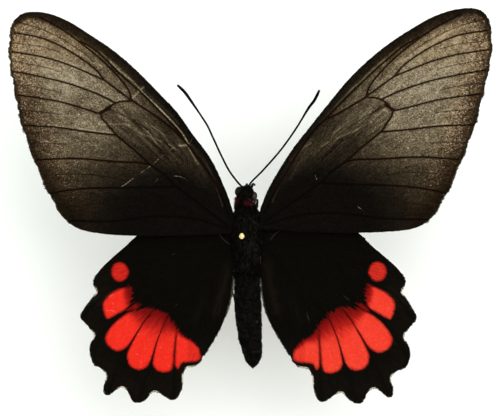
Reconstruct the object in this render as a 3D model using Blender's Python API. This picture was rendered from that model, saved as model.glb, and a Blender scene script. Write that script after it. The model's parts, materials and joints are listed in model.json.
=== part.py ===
"""A male Parides orellana, spread and pinned as in a museum drawer, at life size.

The row frame has +X to the viewer's right seen from above, +Y towards the head and +Z up.
Its origin lies on the floor under the thorax. Every size below is in millimetres.
"""

import math

import bpy
import numpy as np
from mathutils import Vector
from mathutils.geometry import delaunay_2d_cdt

# Driving dimensions, in millimetres
MM = 0.001
GAP = 0.3

# Pin and stand
PIN_AT = (-0.92, 0.24)
PIN_RADIUS = 0.25
PIN_TIP_Z = 2.0
PIN_TOP_Z = 40.0
PIN_POINT_LENGTH = 2.5
PIN_HEAD_RADIUS = 0.62
BASE_SIZE = (43.0, 15.4, 8.0)
BASE_CENTRE = (0.0, -3.0)
BASE_EDGE = 0.4

# Heights of the body and of the wings' middle surfaces where they leave the thorax
THORAX_Z = 28.2
HIND_WING_Z = 28.3
FORE_WING_Z = 29.6
WING_THICKNESS = 0.5
FORE_TIP_RISE = 1.3
HIND_EDGE_RISE = -0.5
CAMBER = 0.5
HALF_SPAN = 49.0

# Rings along the body: place along Y, half width, half height, centre X, centre Z
THORAX_RINGS = (
    (5.4, 2.00, 2.00, 0.00, THORAX_Z),
    (5.0, 2.45, 2.40, 0.00, THORAX_Z),
    (4.1, 2.85, 2.80, 0.00, THORAX_Z),
    (2.6, 3.10, 3.05, 0.00, THORAX_Z),
    (0.5, 3.15, 3.10, 0.00, THORAX_Z),
    (-1.4, 3.00, 2.95, 0.02, THORAX_Z - 0.1),
    (-2.8, 2.70, 2.65, 0.04, THORAX_Z - 0.3),
    (-3.7, 2.35, 2.30, 0.05, THORAX_Z - 0.5),
)
PROTHORAX_RINGS = (
    (7.9, 1.30, 1.35, -0.75, 28.3),
    (7.2, 1.42, 1.48, -0.64, 28.3),
    (6.6, 1.55, 1.62, -0.50, 28.3),
    (6.1, 1.75, 1.80, -0.34, 28.2),
    (5.7, 2.00, 1.95, -0.20, 28.2),
)
ABDOMEN_SPINE = (
    (-4.0, 2.20, 2.15, 0.05, 27.4),
    (-5.5, 2.50, 2.45, 0.08, 27.0),
    (-8.5, 2.62, 2.60, 0.13, 26.8),
    (-12.6, 2.78, 2.70, 0.22, 26.6),
    (-16.2, 2.72, 2.65, 0.40, 26.5),
    (-18.6, 2.52, 2.50, 0.60, 26.4),
    (-21.0, 2.32, 2.30, 0.80, 26.3),
    (-23.4, 2.02, 2.05, 1.22, 26.2),
    (-24.8, 1.55, 1.60, 1.28, 26.2),
    (-25.9, 0.75, 0.85, 1.30, 26.2),
    (-26.3, 0.30, 0.35, 1.30, 26.2),
)
ABDOMEN_SEGMENTS = 8
SEGMENT_GROOVE = 0.13
SEGMENT_GROOVE_HALF_WIDTH = 0.28
BODY_SIDES = 20

# The head is turned a little to the animal's right
HEAD_CENTRE = (-0.1, 8.6, 28.3)
HEAD_TURN = math.radians(-20)
HEAD_RINGS = (
    (-1.62, 1.28, 1.34),
    (-1.35, 1.42, 1.52),
    (-0.70, 1.55, 1.68),
    (0.10, 1.58, 1.75),
    (0.80, 1.42, 1.60),
    (1.35, 1.05, 1.20),
    (1.70, 0.55, 0.65),
    (1.80, 0.20, 0.25),
)
EYE_HALF_AXES = (0.85, 1.05, 1.05)
EYE_PLACE = (1.50, 0.02, 0.10)

# Thin limbs: antennae and palps have a route on each side, the legs are given for the right side
ANTENNA_ROOT = (0.45, 1.10, 1.15)
ANTENNA_RIGHT = (
    (0.80, 10.75, 29.9),
    (3.35, 13.40, 30.1),
    (6.85, 17.40, 30.3),
    (9.85, 21.60, 30.5),
    (12.30, 25.60, 30.6),
    (13.62, 27.40, 30.6),
    (14.60, 29.40, 30.6),
)
ANTENNA_LEFT = (
    (-1.25, 10.40, 29.9),
    (-3.30, 13.00, 30.1),
    (-4.90, 16.00, 30.3),
    (-6.67, 19.80, 30.5),
    (-7.68, 22.00, 30.55),
    (-8.65, 23.60, 30.6),
    (-10.95, 27.00, 30.6),
    (-12.40, 29.00, 30.6),
    (-13.85, 30.40, 30.6),
)
ANTENNA_RADIUS = 0.25
ANTENNA_CLUB_RADIUS = 0.34
ANTENNA_TIP_RADIUS = 0.12
ANTENNA_CLUB_START = 0.80
PALP_LEFT = (
    (-0.45, 1.10, -1.25),
    (-0.50, 1.50, -1.62),
    (-0.50, 1.85, -1.45),
    (-0.50, 1.95, -1.00),
)
PALP_RIGHT = (
    (0.45, 1.10, -1.25),
    (0.55, 1.70, -1.50),
    (0.60, 2.20, -1.10),
    (0.75, 2.42, -0.50),
    (1.10, 2.25, -0.20),
)
PALP_RADII = (0.32, 0.36, 0.32, 0.18)
PROBOSCIS_CENTRE = (0.0, 0.95, -2.75)
PROBOSCIS_TURNS = 1.75
PROBOSCIS_RADII = (1.05, 0.22)
PROBOSCIS_TUBE = 0.25
LEG_PATHS = {
    "foreleg": (
        (1.10, 4.20, 26.00),
        (1.75, 5.30, 25.30),
        (2.15, 6.70, 25.55),
        (2.15, 7.45, 25.20),
        (1.75, 7.20, 24.20),
        (1.45, 6.10, 23.00),
        (1.30, 5.00, 22.00),
    ),
    "midleg": (
        (1.75, 1.90, 26.00),
        (2.65, 1.30, 25.10),
        (4.20, 0.20, 24.70),
        (4.90, -1.00, 24.10),
        (4.50, -3.20, 23.20),
        (3.70, -5.40, 22.40),
        (3.10, -7.60, 21.80),
    ),
    "hindleg": (
        (1.50, -1.90, 26.00),
        (2.20, -2.80, 25.10),
        (3.30, -4.40, 24.60),
        (3.90, -6.40, 23.90),
        (3.40, -9.00, 23.00),
        (2.70, -11.60, 22.40),
        (2.20, -14.00, 21.90),
    ),
}
LEG_RADII = (0.42, 0.40, 0.34, 0.30, 0.27, 0.26, 0.20)
LEFT_FORELEG_TUCK = 0.8

# Right forewing, seen from above. Each stretch of the outline is a smooth curve
FORE_ROOT = ((2.6, 4.9), (2.6, 1.6))
FORE_COSTA = (
    (3.2, 6.7),
    (4.7, 10.2),
    (8.7, 16.8),
    (12.7, 22.0),
    (16.7, 27.0),
    (20.7, 31.8),
    (24.7, 35.6),
    (28.7, 38.8),
    (32.7, 41.4),
    (36.7, 43.7),
    (40.7, 45.2),
    (44.3, 45.7),
    (46.6, 45.3),
    (48.0, 44.0),
)
FORE_MARGIN_ENDS = (
    (48.8, 41.6),
    (49.0, 37.4),
    (48.4, 33.4),
    (47.3, 28.8),
    (45.9, 23.1),
    (43.6, 16.8),
    (40.7, 9.8),
    (38.1, 5.4),
)
FORE_SCALLOP = 0.22
FORE_HIND_EDGE = (
    (36.25, 3.35),
    (34.5, 2.15),
    (31.7, 1.4),
    (26.7, 1.0),
    (20.0, 0.85),
    (12.0, 1.0),
    (6.0, 1.4),
)

# Right hindwing: lobes at the vein ends with notches between them, and one short tail
HIND_ROOT = ((2.6, -2.2), (2.6, 0.9))
HIND_COSTA = (
    (4.2, 1.5),
    (7.5, 2.3),
    (12.7, 2.9),
    (18.0, 2.4),
    (22.1, 1.0),
    (24.9, -1.6),
    (27.7, -4.0),
    (29.9, -5.9),
)
HIND_MARGIN = (
    (31.3, -7.7),
    (31.7, -9.2),
    (31.0, -11.0),
    (31.8, -12.2),
    (33.5, -15.0),
    (33.9, -16.4),
    (32.5, -18.1),
    (31.4, -20.0),
    (32.5, -22.2),
    (32.6, -24.2),
    (31.7, -26.1),
    (30.1, -26.7),
    (28.8, -28.2),
    (29.2, -30.2),
    (29.2, -31.5),
    (28.4, -32.0),
    (27.0, -30.9),
    (25.5, -30.2),
    (24.1, -31.1),
    (23.3, -32.8),
    (22.1, -33.2),
    (20.7, -32.6),
    (19.2, -31.1),
    (17.6, -31.5),
    (15.6, -32.8),
    (14.4, -32.5),
    (13.6, -30.4),
    (13.2, -27.6),
    (12.3, -26.3),
    (10.7, -26.0),
    (9.4, -24.9),
)
HIND_INNER_EDGE = (
    (8.5, -23.4),
    (6.3, -19.8),
    (4.9, -17.2),
    (3.9, -14.8),
    (3.3, -12.2),
    (3.0, -9.4),
    (2.9, -6.0),
    (2.8, -3.8),
)

# Veins of the right wings: what a vein ends on, another may start from
FORE_VEINS = {
    "radial_stem": ((3.4, 4.6), (7.2, 11.8), (10.7, 17.4), (14.7, 22.6), (18.7, 24.9), (23.9, 28.0)),
    "radial_1": ((14.7, 22.6), (18.7, 26.8), (22.7, 30.8), (26.7, 34.7), (30.7, 38.0), (35.4, 40.4)),
    "radial_3": ((23.9, 28.0), (24.9, 30.6), (28.7, 34.9), (32.7, 38.2), (38.7, 42.0), (43.0, 44.5)),
    "radial_stalk": ((23.9, 28.0), (25.5, 29.2), (29.5, 32.1)),
    "radial_4": ((29.5, 32.1), (31.3, 34.2), (34.7, 36.7), (38.7, 38.9), (42.7, 40.4), (48.0, 41.3)),
    "radial_5": ((29.5, 32.1), (31.7, 33.0), (36.7, 35.0), (41.7, 36.4), (48.4, 37.4)),
    "cell_end": ((23.9, 28.0), (26.9, 27.5), (29.1, 25.4), (28.1, 23.4), (27.0, 21.0)),
    "medial_1": ((26.9, 27.5), (30.7, 29.2), (36.7, 31.2), (42.7, 32.5), (47.8, 33.4)),
    "medial_2": ((29.1, 25.4), (32.7, 26.0), (38.7, 27.5), (46.7, 28.6)),
    "medial_3": ((27.0, 21.0), (32.7, 21.5), (38.7, 22.2), (45.1, 22.4)),
    "cubital_stem": ((3.5, 3.0), (9.2, 6.9), (14.7, 10.6), (20.5, 15.3), (24.7, 19.5), (27.0, 21.0)),
    "cubital_1": ((20.5, 15.3), (26.7, 15.6), (34.7, 16.0), (42.4, 15.5)),
    "cubital_2": ((14.7, 10.6), (22.7, 10.5), (30.7, 10.2), (36.0, 9.6), (39.7, 8.8)),
    "anal": ((3.6, 2.4), (10.7, 4.4), (18.7, 4.8), (27.7, 3.7), (36.0, 3.5)),
}
HIND_VEINS = {
    "subcosta": ((3.4, 0.3), (10.0, 1.0), (17.0, 0.2), (22.5, -1.6), (25.2, -3.0)),
    "radial_stem": ((3.4, -0.4), (9.0, -0.9), (14.0, -1.9), (17.7, -3.6)),
    "radial_branch": ((17.7, -3.6), (21.7, -3.8), (25.7, -4.4), (28.7, -6.0), (31.1, -8.6)),
    "cell_end": ((17.7, -3.6), (19.7, -6.6), (20.3, -10.6), (18.3, -13.2), (15.1, -13.2)),
    "medial_1": ((19.7, -6.6), (24.5, -9.2), (27.7, -10.2), (29.7, -11.6), (33.3, -16.0)),
    "medial_2": ((20.3, -10.6), (24.7, -14.4), (28.9, -18.6), (32.0, -23.4)),
    "medial_3": ((18.3, -13.2), (22.7, -19.8), (26.7, -27.0), (28.2, -31.3)),
    "cubital_stem": ((3.4, -1.2), (7.5, -5.4), (11.7, -10.6), (15.1, -13.2)),
    "cubital_1": ((15.1, -13.2), (18.1, -20.0), (19.9, -26.0), (21.9, -32.5)),
    "cubital_2": ((11.7, -10.6), (14.1, -18.8), (14.6, -27.0), (15.1, -32.1)),
    "anal": ((3.3, -1.9), (5.2, -8.0), (8.4, -16.0), (10.9, -21.6), (10.3, -25.3)),
}
VEIN_STEP = 2.6
VEIN_HALF_WIDTH = 0.38
RIDGE_ABOVE = 0.24
RIDGE_BELOW = 0.12
COSTA_INSET = 0.5
RIM_CLEARANCE = 0.3
FILL_STEP = 5.0
SLOT_REACH = 8.0
HIND_SLOT_REAR = 2.0

# How each left wing sits against its mirrored right twin: scale, turn in degrees, shift
LEFT_FORE_PLACE = (0.985, -1.3, (0.0, -0.9))
LEFT_HIND_PLACE = (0.966, -0.9, (0.2, -0.87))
RIGHT_PLACE = (1.0, 0.0, (0.0, 0.0))

# Where a left wing's own shape departs from that twin: place, shift and reach
LEFT_FORE_BENDS = (
    ((-14.5, 24.2), (0.57, 0.56), 5.6),
    ((-8.6, 15.0), (0.65, 0.35), 6.5),
    ((-31.0, 40.5), (-0.08, -0.14), 6.0),
    ((-45.5, 45.5), (0.2, -0.2), 4.0),
    ((-43.5, 19.0), (-0.43, 0.12), 14.0),
    ((-26.0, 0.5), (0.0, -0.24), 9.0),
    ((-28.3, 24.6), (-0.8, 0.0), 2.5),
)
LEFT_HIND_BENDS = (
    ((-24.5, -1.5), (-0.25, 0.3), 6.0),
    ((-32.3, -15.3), (-0.35, 0.0), 2.6),
    ((-31.0, -24.0), (0.5, 0.15), 3.2),
    ((-22.3, -31.5), (0.0, -0.48), 6.0),
    ((-13.4, -29.8), (0.4, 0.0), 2.6),
    ((-4.3, -16.0), (-0.3, -0.05), 3.0),
)

# Colours as linear red, green and blue, with roughness and metallic
MATERIALS = {
    "wing_black": ((0.012, 0.010, 0.009), 0.75, 0.0),
    "wing_grey": ((0.060, 0.048, 0.040), 0.6, 0.0),
    "body_black": ((0.010, 0.008, 0.007), 0.85, 0.0),
    "eye_brown": ((0.10, 0.07, 0.05), 0.3, 0.0),
    "leg_black": ((0.015, 0.012, 0.010), 0.6, 0.0),
    "pin_brass": ((0.72, 0.50, 0.20), 0.3, 1.0),
    "stand_white": ((0.80, 0.79, 0.76), 0.6, 0.0),
}


def material(name):
    """The named material, made on first use."""
    found = bpy.data.materials.get(name)
    if found:
        return found
    colour, roughness, metallic = MATERIALS[name]
    made = bpy.data.materials.new(name)
    made.use_nodes = True
    shader = made.node_tree.nodes["Principled BSDF"]
    shader.inputs["Base Color"].default_value = (*colour, 1.0)
    shader.inputs["Roughness"].default_value = roughness
    shader.inputs["Metallic"].default_value = metallic
    return made


def add_object(name, vertices, faces, material_name):
    """A mesh object from points in millimetres."""
    mesh = bpy.data.meshes.new(name)
    mesh.from_pydata([Vector(point) * MM for point in vertices], [], faces)
    mesh.materials.append(material(material_name))
    mesh.shade_smooth()
    mesh.set_sharp_from_angle(angle=math.radians(50))
    made = bpy.data.objects.new(name, mesh)
    bpy.context.scene.collection.objects.link(made)
    return made


def smooth_curve(points, step):
    """Points about a step apart on a Catmull-Rom curve through the given ones, both ends kept."""
    given = [np.array(point, float) for point in points]
    padded = [2 * given[0] - given[1], *given, 2 * given[-1] - given[-2]]
    curve = []
    for before, start, end, after in zip(padded, padded[1:], padded[2:], padded[3:]):
        count = max(1, round(float(np.linalg.norm(end - start)) / step))
        for index in range(count):
            t = index / count
            curve.append(
                0.5
                * (
                    2 * start
                    + (end - before) * t
                    + (2 * before - 5 * start + 4 * end - after) * t**2
                    + (3 * start - before - 3 * end + after) * t**3
                )
            )
    curve.append(given[-1])
    return curve


def stitch_rings(rings):
    """Faces of a closed tube through rings of equal count, with a flat cap on each end."""
    sides = len(rings[0])
    faces = [tuple(reversed(range(sides)))]
    for ring in range(len(rings) - 1):
        for side in range(sides):
            here = ring * sides + side
            beside = ring * sides + (side + 1) % sides
            faces.append((here, beside, beside + sides, here + sides))
    last = (len(rings) - 1) * sides
    faces.append(tuple(range(last, last + sides)))
    return faces


def lofted_body(name, rings, material_name):
    """A body of elliptic rings square to Y, from the first ring, the foremost, to the last."""
    vertices = []
    loops = []
    for y, half_width, half_height, centre_x, centre_z in rings:
        loop = []
        for side in range(BODY_SIDES):
            angle = 2 * math.pi * side / BODY_SIDES
            x = centre_x + half_width * math.cos(angle)
            z = centre_z + half_height * math.sin(angle)
            loop.append((x, y, z))
        loops.append(loop)
        vertices.extend(loop)
    return add_object(name, vertices, stitch_rings(loops), material_name)


def swept_tube(name, path, radii, sides, material_name):
    """A tube of changing radius along a path, its rings carried along without twist."""
    path = [Vector(point) for point in path]
    heading = (path[1] - path[0]).normalized()
    across = heading.orthogonal().normalized()
    vertices = []
    loops = []
    for index, (centre, radius) in enumerate(zip(path, radii)):
        before = path[max(index - 1, 0)]
        after = path[min(index + 1, len(path) - 1)]
        new_heading = (after - before).normalized()
        across = (heading.rotation_difference(new_heading) @ across).normalized()
        heading = new_heading
        beside = heading.cross(across)
        loop = []
        for side in range(sides):
            angle = 2 * math.pi * side / sides
            loop.append(centre + radius * (math.cos(angle) * across + math.sin(angle) * beside))
        loops.append(loop)
        vertices.extend(loop)
    return add_object(name, vertices, stitch_rings(loops), material_name)


def cylinder_cutter(start, direction, radius, length):
    """A round cutter that begins at a point and runs along a direction."""
    direction = Vector(direction).normalized()
    start = Vector(start)
    path = [start, start + direction * length]
    return swept_tube("cutter", path, [radius, radius], 12, "body_black")


def box_cutter(low, high):
    """A box-shaped cutter between two corners."""
    corners = [(x, y, z) for x in (low[0], high[0]) for y in (low[1], high[1]) for z in (low[2], high[2])]
    faces = [(0, 1, 3, 2), (4, 6, 7, 5), (0, 4, 5, 1), (2, 3, 7, 6), (0, 2, 6, 4), (1, 5, 7, 3)]
    return add_object("cutter", corners, faces, "body_black")


def carve(body, cutters):
    """Cuts every cutter out of the body, and removes the cutters."""
    bpy.context.view_layer.update()
    for cutter in cutters:
        modifier = body.modifiers.new("carve", "BOOLEAN")
        modifier.operation = "DIFFERENCE"
        modifier.object = cutter
    graph = bpy.context.evaluated_depsgraph_get()
    mesh = bpy.data.meshes.new_from_object(body.evaluated_get(graph))
    body.modifiers.clear()
    body.data = mesh
    for cutter in cutters:
        bpy.data.objects.remove(cutter)


def socket_for(path, radius):
    """A cutter that leaves the usual gap round the root of a limb and under its end face."""
    start = Vector(path[0])
    direction = (Vector(path[1]) - start).normalized()
    return cylinder_cutter(start - direction * GAP, direction, radius + GAP, 3.0)


# Wings


def fore_outline():
    """The right forewing's outline, from the root forward and round clockwise."""
    outline = smooth_curve([FORE_ROOT[0], *FORE_COSTA, FORE_MARGIN_ENDS[0]], 3.0)
    for start, end in zip(FORE_MARGIN_ENDS, FORE_MARGIN_ENDS[1:]):
        start = np.array(start)
        along = np.array(end) - start
        inward = np.array([along[1], -along[0]]) / np.linalg.norm(along)
        for t in (0.25, 0.5, 0.75):
            outline.append(start + along * t + inward * FORE_SCALLOP * math.sin(math.pi * t))
        outline.append(np.array(end))
    outline += smooth_curve([FORE_MARGIN_ENDS[-1], *FORE_HIND_EDGE, FORE_ROOT[1]], 3.0)[1:]
    return outline


def hind_outline():
    """The right hindwing's outline, from the root's front corner round clockwise."""
    points = [HIND_ROOT[1], *HIND_COSTA, *HIND_MARGIN, *HIND_INNER_EDGE, HIND_ROOT[0]]
    return smooth_curve(points, 1.4)


def placed(point, side, place, bends=()):
    """A point of a right wing carried to its side, with that wing's own scale, turn, shift and bends."""
    if side > 0:
        return np.array(point, float)
    scale, turn, shift = place
    angle = math.radians(turn)
    x = -point[0] * scale
    y = point[1] * scale
    moved = np.array(
        [
            x * math.cos(angle) - y * math.sin(angle) + shift[0],
            x * math.sin(angle) + y * math.cos(angle) + shift[1],
        ]
    )
    pulls = [np.array(pull) * math.exp(-((math.dist(moved, at) / reach) ** 2)) for at, pull, reach in bends]
    return moved + sum(pulls, np.zeros(2))


def wing_height(x, y, root_z, rise):
    """Height of a wing's middle surface: a slight rise to the edge and a low swell across it."""
    out = min(abs(x) / HALF_SPAN, 1.0)
    return root_z + rise * out**2 + CAMBER * math.sin(math.pi * out)


def segments_of(lines):
    """Starts and ends of all the segments of several lines."""
    starts = np.array([point for line in lines for point in line[:-1]])
    ends = np.array([point for line in lines for point in line[1:]])
    return starts, ends


def distance_to(points, lines):
    """Distance from each point to the nearest of the lines."""
    starts, ends = segments_of(lines)
    along = ends - starts
    away = points[:, None, :] - starts[None, :, :]
    t = (away * along).sum(2) / np.maximum((along**2).sum(1), 1e-12)
    nearest = away - np.clip(t, 0.0, 1.0)[:, :, None] * along
    return np.sqrt((nearest**2).sum(2)).min(1)


def inside(point, outline):
    """Whether a point lies inside a closed outline."""
    found = False
    for start, end in zip(outline, [*outline[1:], outline[0]]):
        if (start[1] > point[1]) != (end[1] > point[1]):
            crossing = start[0] + (end[0] - start[0]) * (point[1] - start[1]) / (end[1] - start[1])
            if point[0] < crossing:
                found = not found
    return found


def inset_line(line, distance):
    """A line set in to its right by a distance, without its first and last points."""
    moved = []
    for before, point, after in zip(line, line[1:], line[2:]):
        along = (after - before) / np.linalg.norm(after - before)
        moved.append(point + distance * np.array([along[1], -along[0]]))
    return moved


def vein_network(veins, outline):
    """Points and edges that split a wing along its veins: each vein's crest and the foot on each side."""
    rim = [[*outline, outline[0]]]
    points = []
    edges = []
    for index, line in enumerate(veins):
        others = veins[:index] + veins[index + 1 :]
        crest = list(range(len(points), len(points) + len(line)))
        points.extend(line)
        edges.extend(zip(crest, crest[1:]))
        along = np.gradient(np.array(line), axis=0)
        along /= np.linalg.norm(along, axis=1)[:, None]
        across = np.stack([along[:, 1], -along[:, 0]], 1) * VEIN_HALF_WIDTH
        for foot in (np.array(line) + across, np.array(line) - across):
            clear = distance_to(foot, others) > 0.8 * VEIN_HALF_WIDTH
            clear &= distance_to(foot, rim) > RIM_CLEARANCE
            last = None
            for place, kept in zip(foot, clear):
                apart = min(math.dist(place, other) for other in points) if kept else 0.0
                if apart < 0.6 * VEIN_HALF_WIDTH or not inside(place, outline):
                    last = None
                    continue
                points.append(place)
                if last is not None:
                    edges.append((last, len(points) - 1))
                last = len(points) - 1
    return points, edges


def fill_points(outline, lines):
    """A sparse even net of points over the panes between the veins."""
    low = np.min(outline, axis=0)
    high = np.max(outline, axis=0)
    found = []
    row = 0
    y = low[1]
    while y < high[1]:
        x = low[0] + FILL_STEP / 2 * (row % 2)
        while x < high[0]:
            found.append((x, y))
            x += FILL_STEP
        y += FILL_STEP * math.sqrt(3) / 2
        row += 1
    found = np.array(found)
    clear = distance_to(found, [*lines, [*outline, outline[0]]]) > 0.32 * FILL_STEP
    return [place for place in found[clear] if inside(place, outline)]


def wing(name, outline, veins, side, place, bends, root_z, rise, material_name):
    """A wing as a thin plate split into the same triangles above and below, its veins raised."""
    outline = [placed(point, side, place, bends) for point in outline]
    veins = [[placed(point, side, place, bends) for point in vein] for vein in veins]
    if side < 0:
        outline.reverse()
    count = len(outline)
    network, edges = vein_network(veins, outline)
    flat = [*outline, *network, *fill_points(outline, veins)]
    edges = [(start + count, end + count) for start, end in edges]
    result = delaunay_2d_cdt([Vector(point) for point in flat], edges, [tuple(range(count))], 1, 1e-4)
    points, triangles = result[0], result[2]
    reach = distance_to(np.array([tuple(point) for point in points]), veins) / VEIN_HALF_WIDTH
    crest = np.clip(1.0 - reach, 0.0, 1.0)
    vertices = []
    for direction, ridge in ((1, RIDGE_ABOVE), (-1, RIDGE_BELOW)):
        for point, swell in zip(points, crest):
            height = wing_height(point.x, point.y, root_z, rise)
            fade = 1.0 - 0.4 * min(abs(point.x) / HALF_SPAN, 1.0)
            lift = WING_THICKNESS / 2 + ridge * fade * float(swell)
            vertices.append((point.x, point.y, height + direction * lift))
    upper = []
    for face in triangles:
        a, b, c = (points[index] for index in face)
        turn = (b - a).cross(c - a)
        upper.append(tuple(face) if turn > 0 else tuple(reversed(face)))
    edges = {(face[i], face[(i + 1) % 3]) for face in upper for i in range(3)}
    rim = [edge for edge in edges if (edge[1], edge[0]) not in edges]
    below = len(points)
    faces = list(upper)
    faces += [tuple(index + below for index in reversed(face)) for face in upper]
    for start, end in sorted(rim):
        faces.append((start, start + below, end + below))
        faces.append((start, end + below, end))
    return add_object(name, vertices, faces, material_name)


def wing_slot(root, side, place, bends, root_z, rear_reach):
    """The cutter for the slot in the thorax that a wing's root sits in."""
    corners = [placed(point, side, place, bends) for point in root]
    inner = min(abs(corner[0]) for corner in corners) - GAP
    low_y = min(corner[1] for corner in corners) - GAP - rear_reach
    high_y = max(corner[1] for corner in corners) + GAP
    half = WING_THICKNESS / 2 + GAP
    near, far = sorted((side * inner, side * SLOT_REACH))
    low = (near, low_y, root_z - half - RIDGE_BELOW)
    high = (far, high_y, root_z + half + RIDGE_ABOVE)
    return box_cutter(low, high)


# Body


def abdomen_rings():
    """The abdomen's rings, drawn in at the joints between its segments."""
    table = np.array(ABDOMEN_SPINE)
    front, rear = table[0, 0], table[-1, 0]
    joints = [front + (rear - front) * n / ABDOMEN_SEGMENTS for n in range(1, ABDOMEN_SEGMENTS)]
    places = {float(front), float(table[-2, 0]), float(rear)}
    for joint in joints:
        places.update({joint - SEGMENT_GROOVE_HALF_WIDTH, joint, joint + SEGMENT_GROOVE_HALF_WIDTH})
    for start, end in zip([front, *joints], [*joints, rear]):
        places.add((start + end) / 2)
    rings = []
    for y in sorted(places, reverse=True):
        sizes = [float(np.interp(-y, -table[:, 0], table[:, column])) for column in range(1, 5)]
        if y in joints:
            sizes[0] -= SEGMENT_GROOVE
            sizes[1] -= SEGMENT_GROOVE
        rings.append((y, *sizes))
    return rings


def head_point(point):
    """A point given in the turned head's own frame, in the row frame."""
    turned = Vector(point)
    x = turned.x * math.cos(HEAD_TURN) - turned.y * math.sin(HEAD_TURN)
    y = turned.x * math.sin(HEAD_TURN) + turned.y * math.cos(HEAD_TURN)
    return Vector(HEAD_CENTRE) + Vector((x, y, turned.z))


def head_ball(name, centre, half_axes, material_name):
    """A ball from rings of latitude, placed and stretched in the head's own frame."""
    rings = []
    vertices = []
    levels = 8
    sides = 14
    for level in range(1, levels):
        angle = math.pi * level / levels
        loop = []
        for side in range(sides):
            turn = 2 * math.pi * side / sides
            x = centre[0] + half_axes[0] * math.sin(angle) * math.cos(turn)
            y = centre[1] + half_axes[1] * math.sin(angle) * math.sin(turn)
            z = centre[2] - half_axes[2] * math.cos(angle)
            loop.append(head_point((x, y, z)))
        rings.append(loop)
        vertices.extend(loop)
    return add_object(name, vertices, stitch_rings(rings), material_name)


def make_head():
    rings = []
    vertices = []
    for along, half_width, half_height in reversed(HEAD_RINGS):
        loop = []
        for side in range(BODY_SIDES):
            angle = 2 * math.pi * side / BODY_SIDES
            loop.append(head_point((half_width * math.cos(angle), along, half_height * math.sin(angle))))
        rings.append(loop)
        vertices.extend(loop)
    return add_object("head", vertices, stitch_rings(rings), "body_black")


def make_eyes():
    """Two eyes, and the balls that hollow their sockets."""
    sockets = []
    socket_half_axes = [half_axis + GAP for half_axis in EYE_HALF_AXES]
    for side, name in ((-1, "eye_left"), (1, "eye_right")):
        centre = (side * EYE_PLACE[0], EYE_PLACE[1], EYE_PLACE[2])
        head_ball(name, centre, EYE_HALF_AXES, "eye_brown")
        sockets.append(head_ball("cutter", centre, socket_half_axes, "body_black"))
    return sockets


def make_prothorax():
    """The neck, cut square to the turned head so that the two meet face to face."""
    neck = lofted_body("prothorax", PROTHORAX_RINGS, "body_black")
    reach = 2 * max(HEAD_RINGS[0][1:]) + 2
    cutter = box_cutter((-reach, HEAD_RINGS[0][0] - GAP, -reach), (reach, reach, reach))
    for vertex in cutter.data.vertices:
        vertex.co = head_point(vertex.co / MM) * MM
    carve(neck, [cutter])


def antenna_radius(t):
    """Radius along the antenna, from 0 at the head to 1 at the tip."""
    if t < ANTENNA_CLUB_START:
        return ANTENNA_RADIUS
    club = (t - ANTENNA_CLUB_START) / (1 - ANTENNA_CLUB_START)
    swell = (ANTENNA_CLUB_RADIUS - ANTENNA_RADIUS) * math.sin(math.pi * min(club * 1.1, 1.0))
    return ANTENNA_RADIUS + swell - (ANTENNA_RADIUS - ANTENNA_TIP_RADIUS) * club**4


def make_antennae():
    sockets = []
    for side, name, route in (
        (-1, "antenna_left", ANTENNA_LEFT),
        (1, "antenna_right", ANTENNA_RIGHT),
    ):
        root = head_point((side * ANTENNA_ROOT[0], ANTENNA_ROOT[1], ANTENNA_ROOT[2]))
        path = smooth_curve([root, *route], 0.9)
        radii = [antenna_radius(index / (len(path) - 1)) for index in range(len(path))]
        swept_tube(name, path, radii, 6, "leg_black")
        sockets.append(socket_for(path, ANTENNA_RADIUS))
    return sockets


def make_palps():
    sockets = []
    for name, route in (("palp_left", PALP_LEFT), ("palp_right", PALP_RIGHT)):
        path = smooth_curve([head_point(point) for point in route], 0.4)
        places = np.linspace(0, len(PALP_RADII) - 1, len(path))
        radii = np.interp(places, range(len(PALP_RADII)), PALP_RADII)
        swept_tube(name, path, [float(radius) for radius in radii], 8, "leg_black")
        sockets.append(socket_for(path, PALP_RADII[0]))
    return sockets


def make_proboscis():
    """The coiled tongue under the head, a flat spiral that starts at its outer turn."""
    steps = 22
    path = []
    for index in range(steps + 1):
        t = index / steps
        angle = math.pi / 2 - 2 * math.pi * PROBOSCIS_TURNS * t
        radius = PROBOSCIS_RADII[0] + (PROBOSCIS_RADII[1] - PROBOSCIS_RADII[0]) * t
        y = PROBOSCIS_CENTRE[1] + radius * math.cos(angle)
        z = PROBOSCIS_CENTRE[2] + radius * math.sin(angle)
        path.append(head_point((PROBOSCIS_CENTRE[0], y, z)))
    radii = [PROBOSCIS_TUBE] * len(path)
    swept_tube("proboscis", path, radii, 6, "leg_black")


def make_legs():
    """Six legs folded under the body, the left foreleg tucked closer than the right."""
    sockets = []
    for leg, route in LEG_PATHS.items():
        for side, word in ((-1, "left"), (1, "right")):
            out = side * (LEFT_FORELEG_TUCK if (leg, word) == ("foreleg", "left") else 1.0)
            path = smooth_curve([(out * x, y, z) for x, y, z in route], 0.7)
            places = np.linspace(0, len(LEG_RADII) - 1, len(path))
            radii = np.interp(places, range(len(LEG_RADII)), LEG_RADII)
            swept_tube(f"{leg}_{word}", path, [float(radius) for radius in radii], 6, "leg_black")
            sockets.append(socket_for(path, LEG_RADII[0]))
    return sockets


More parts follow.
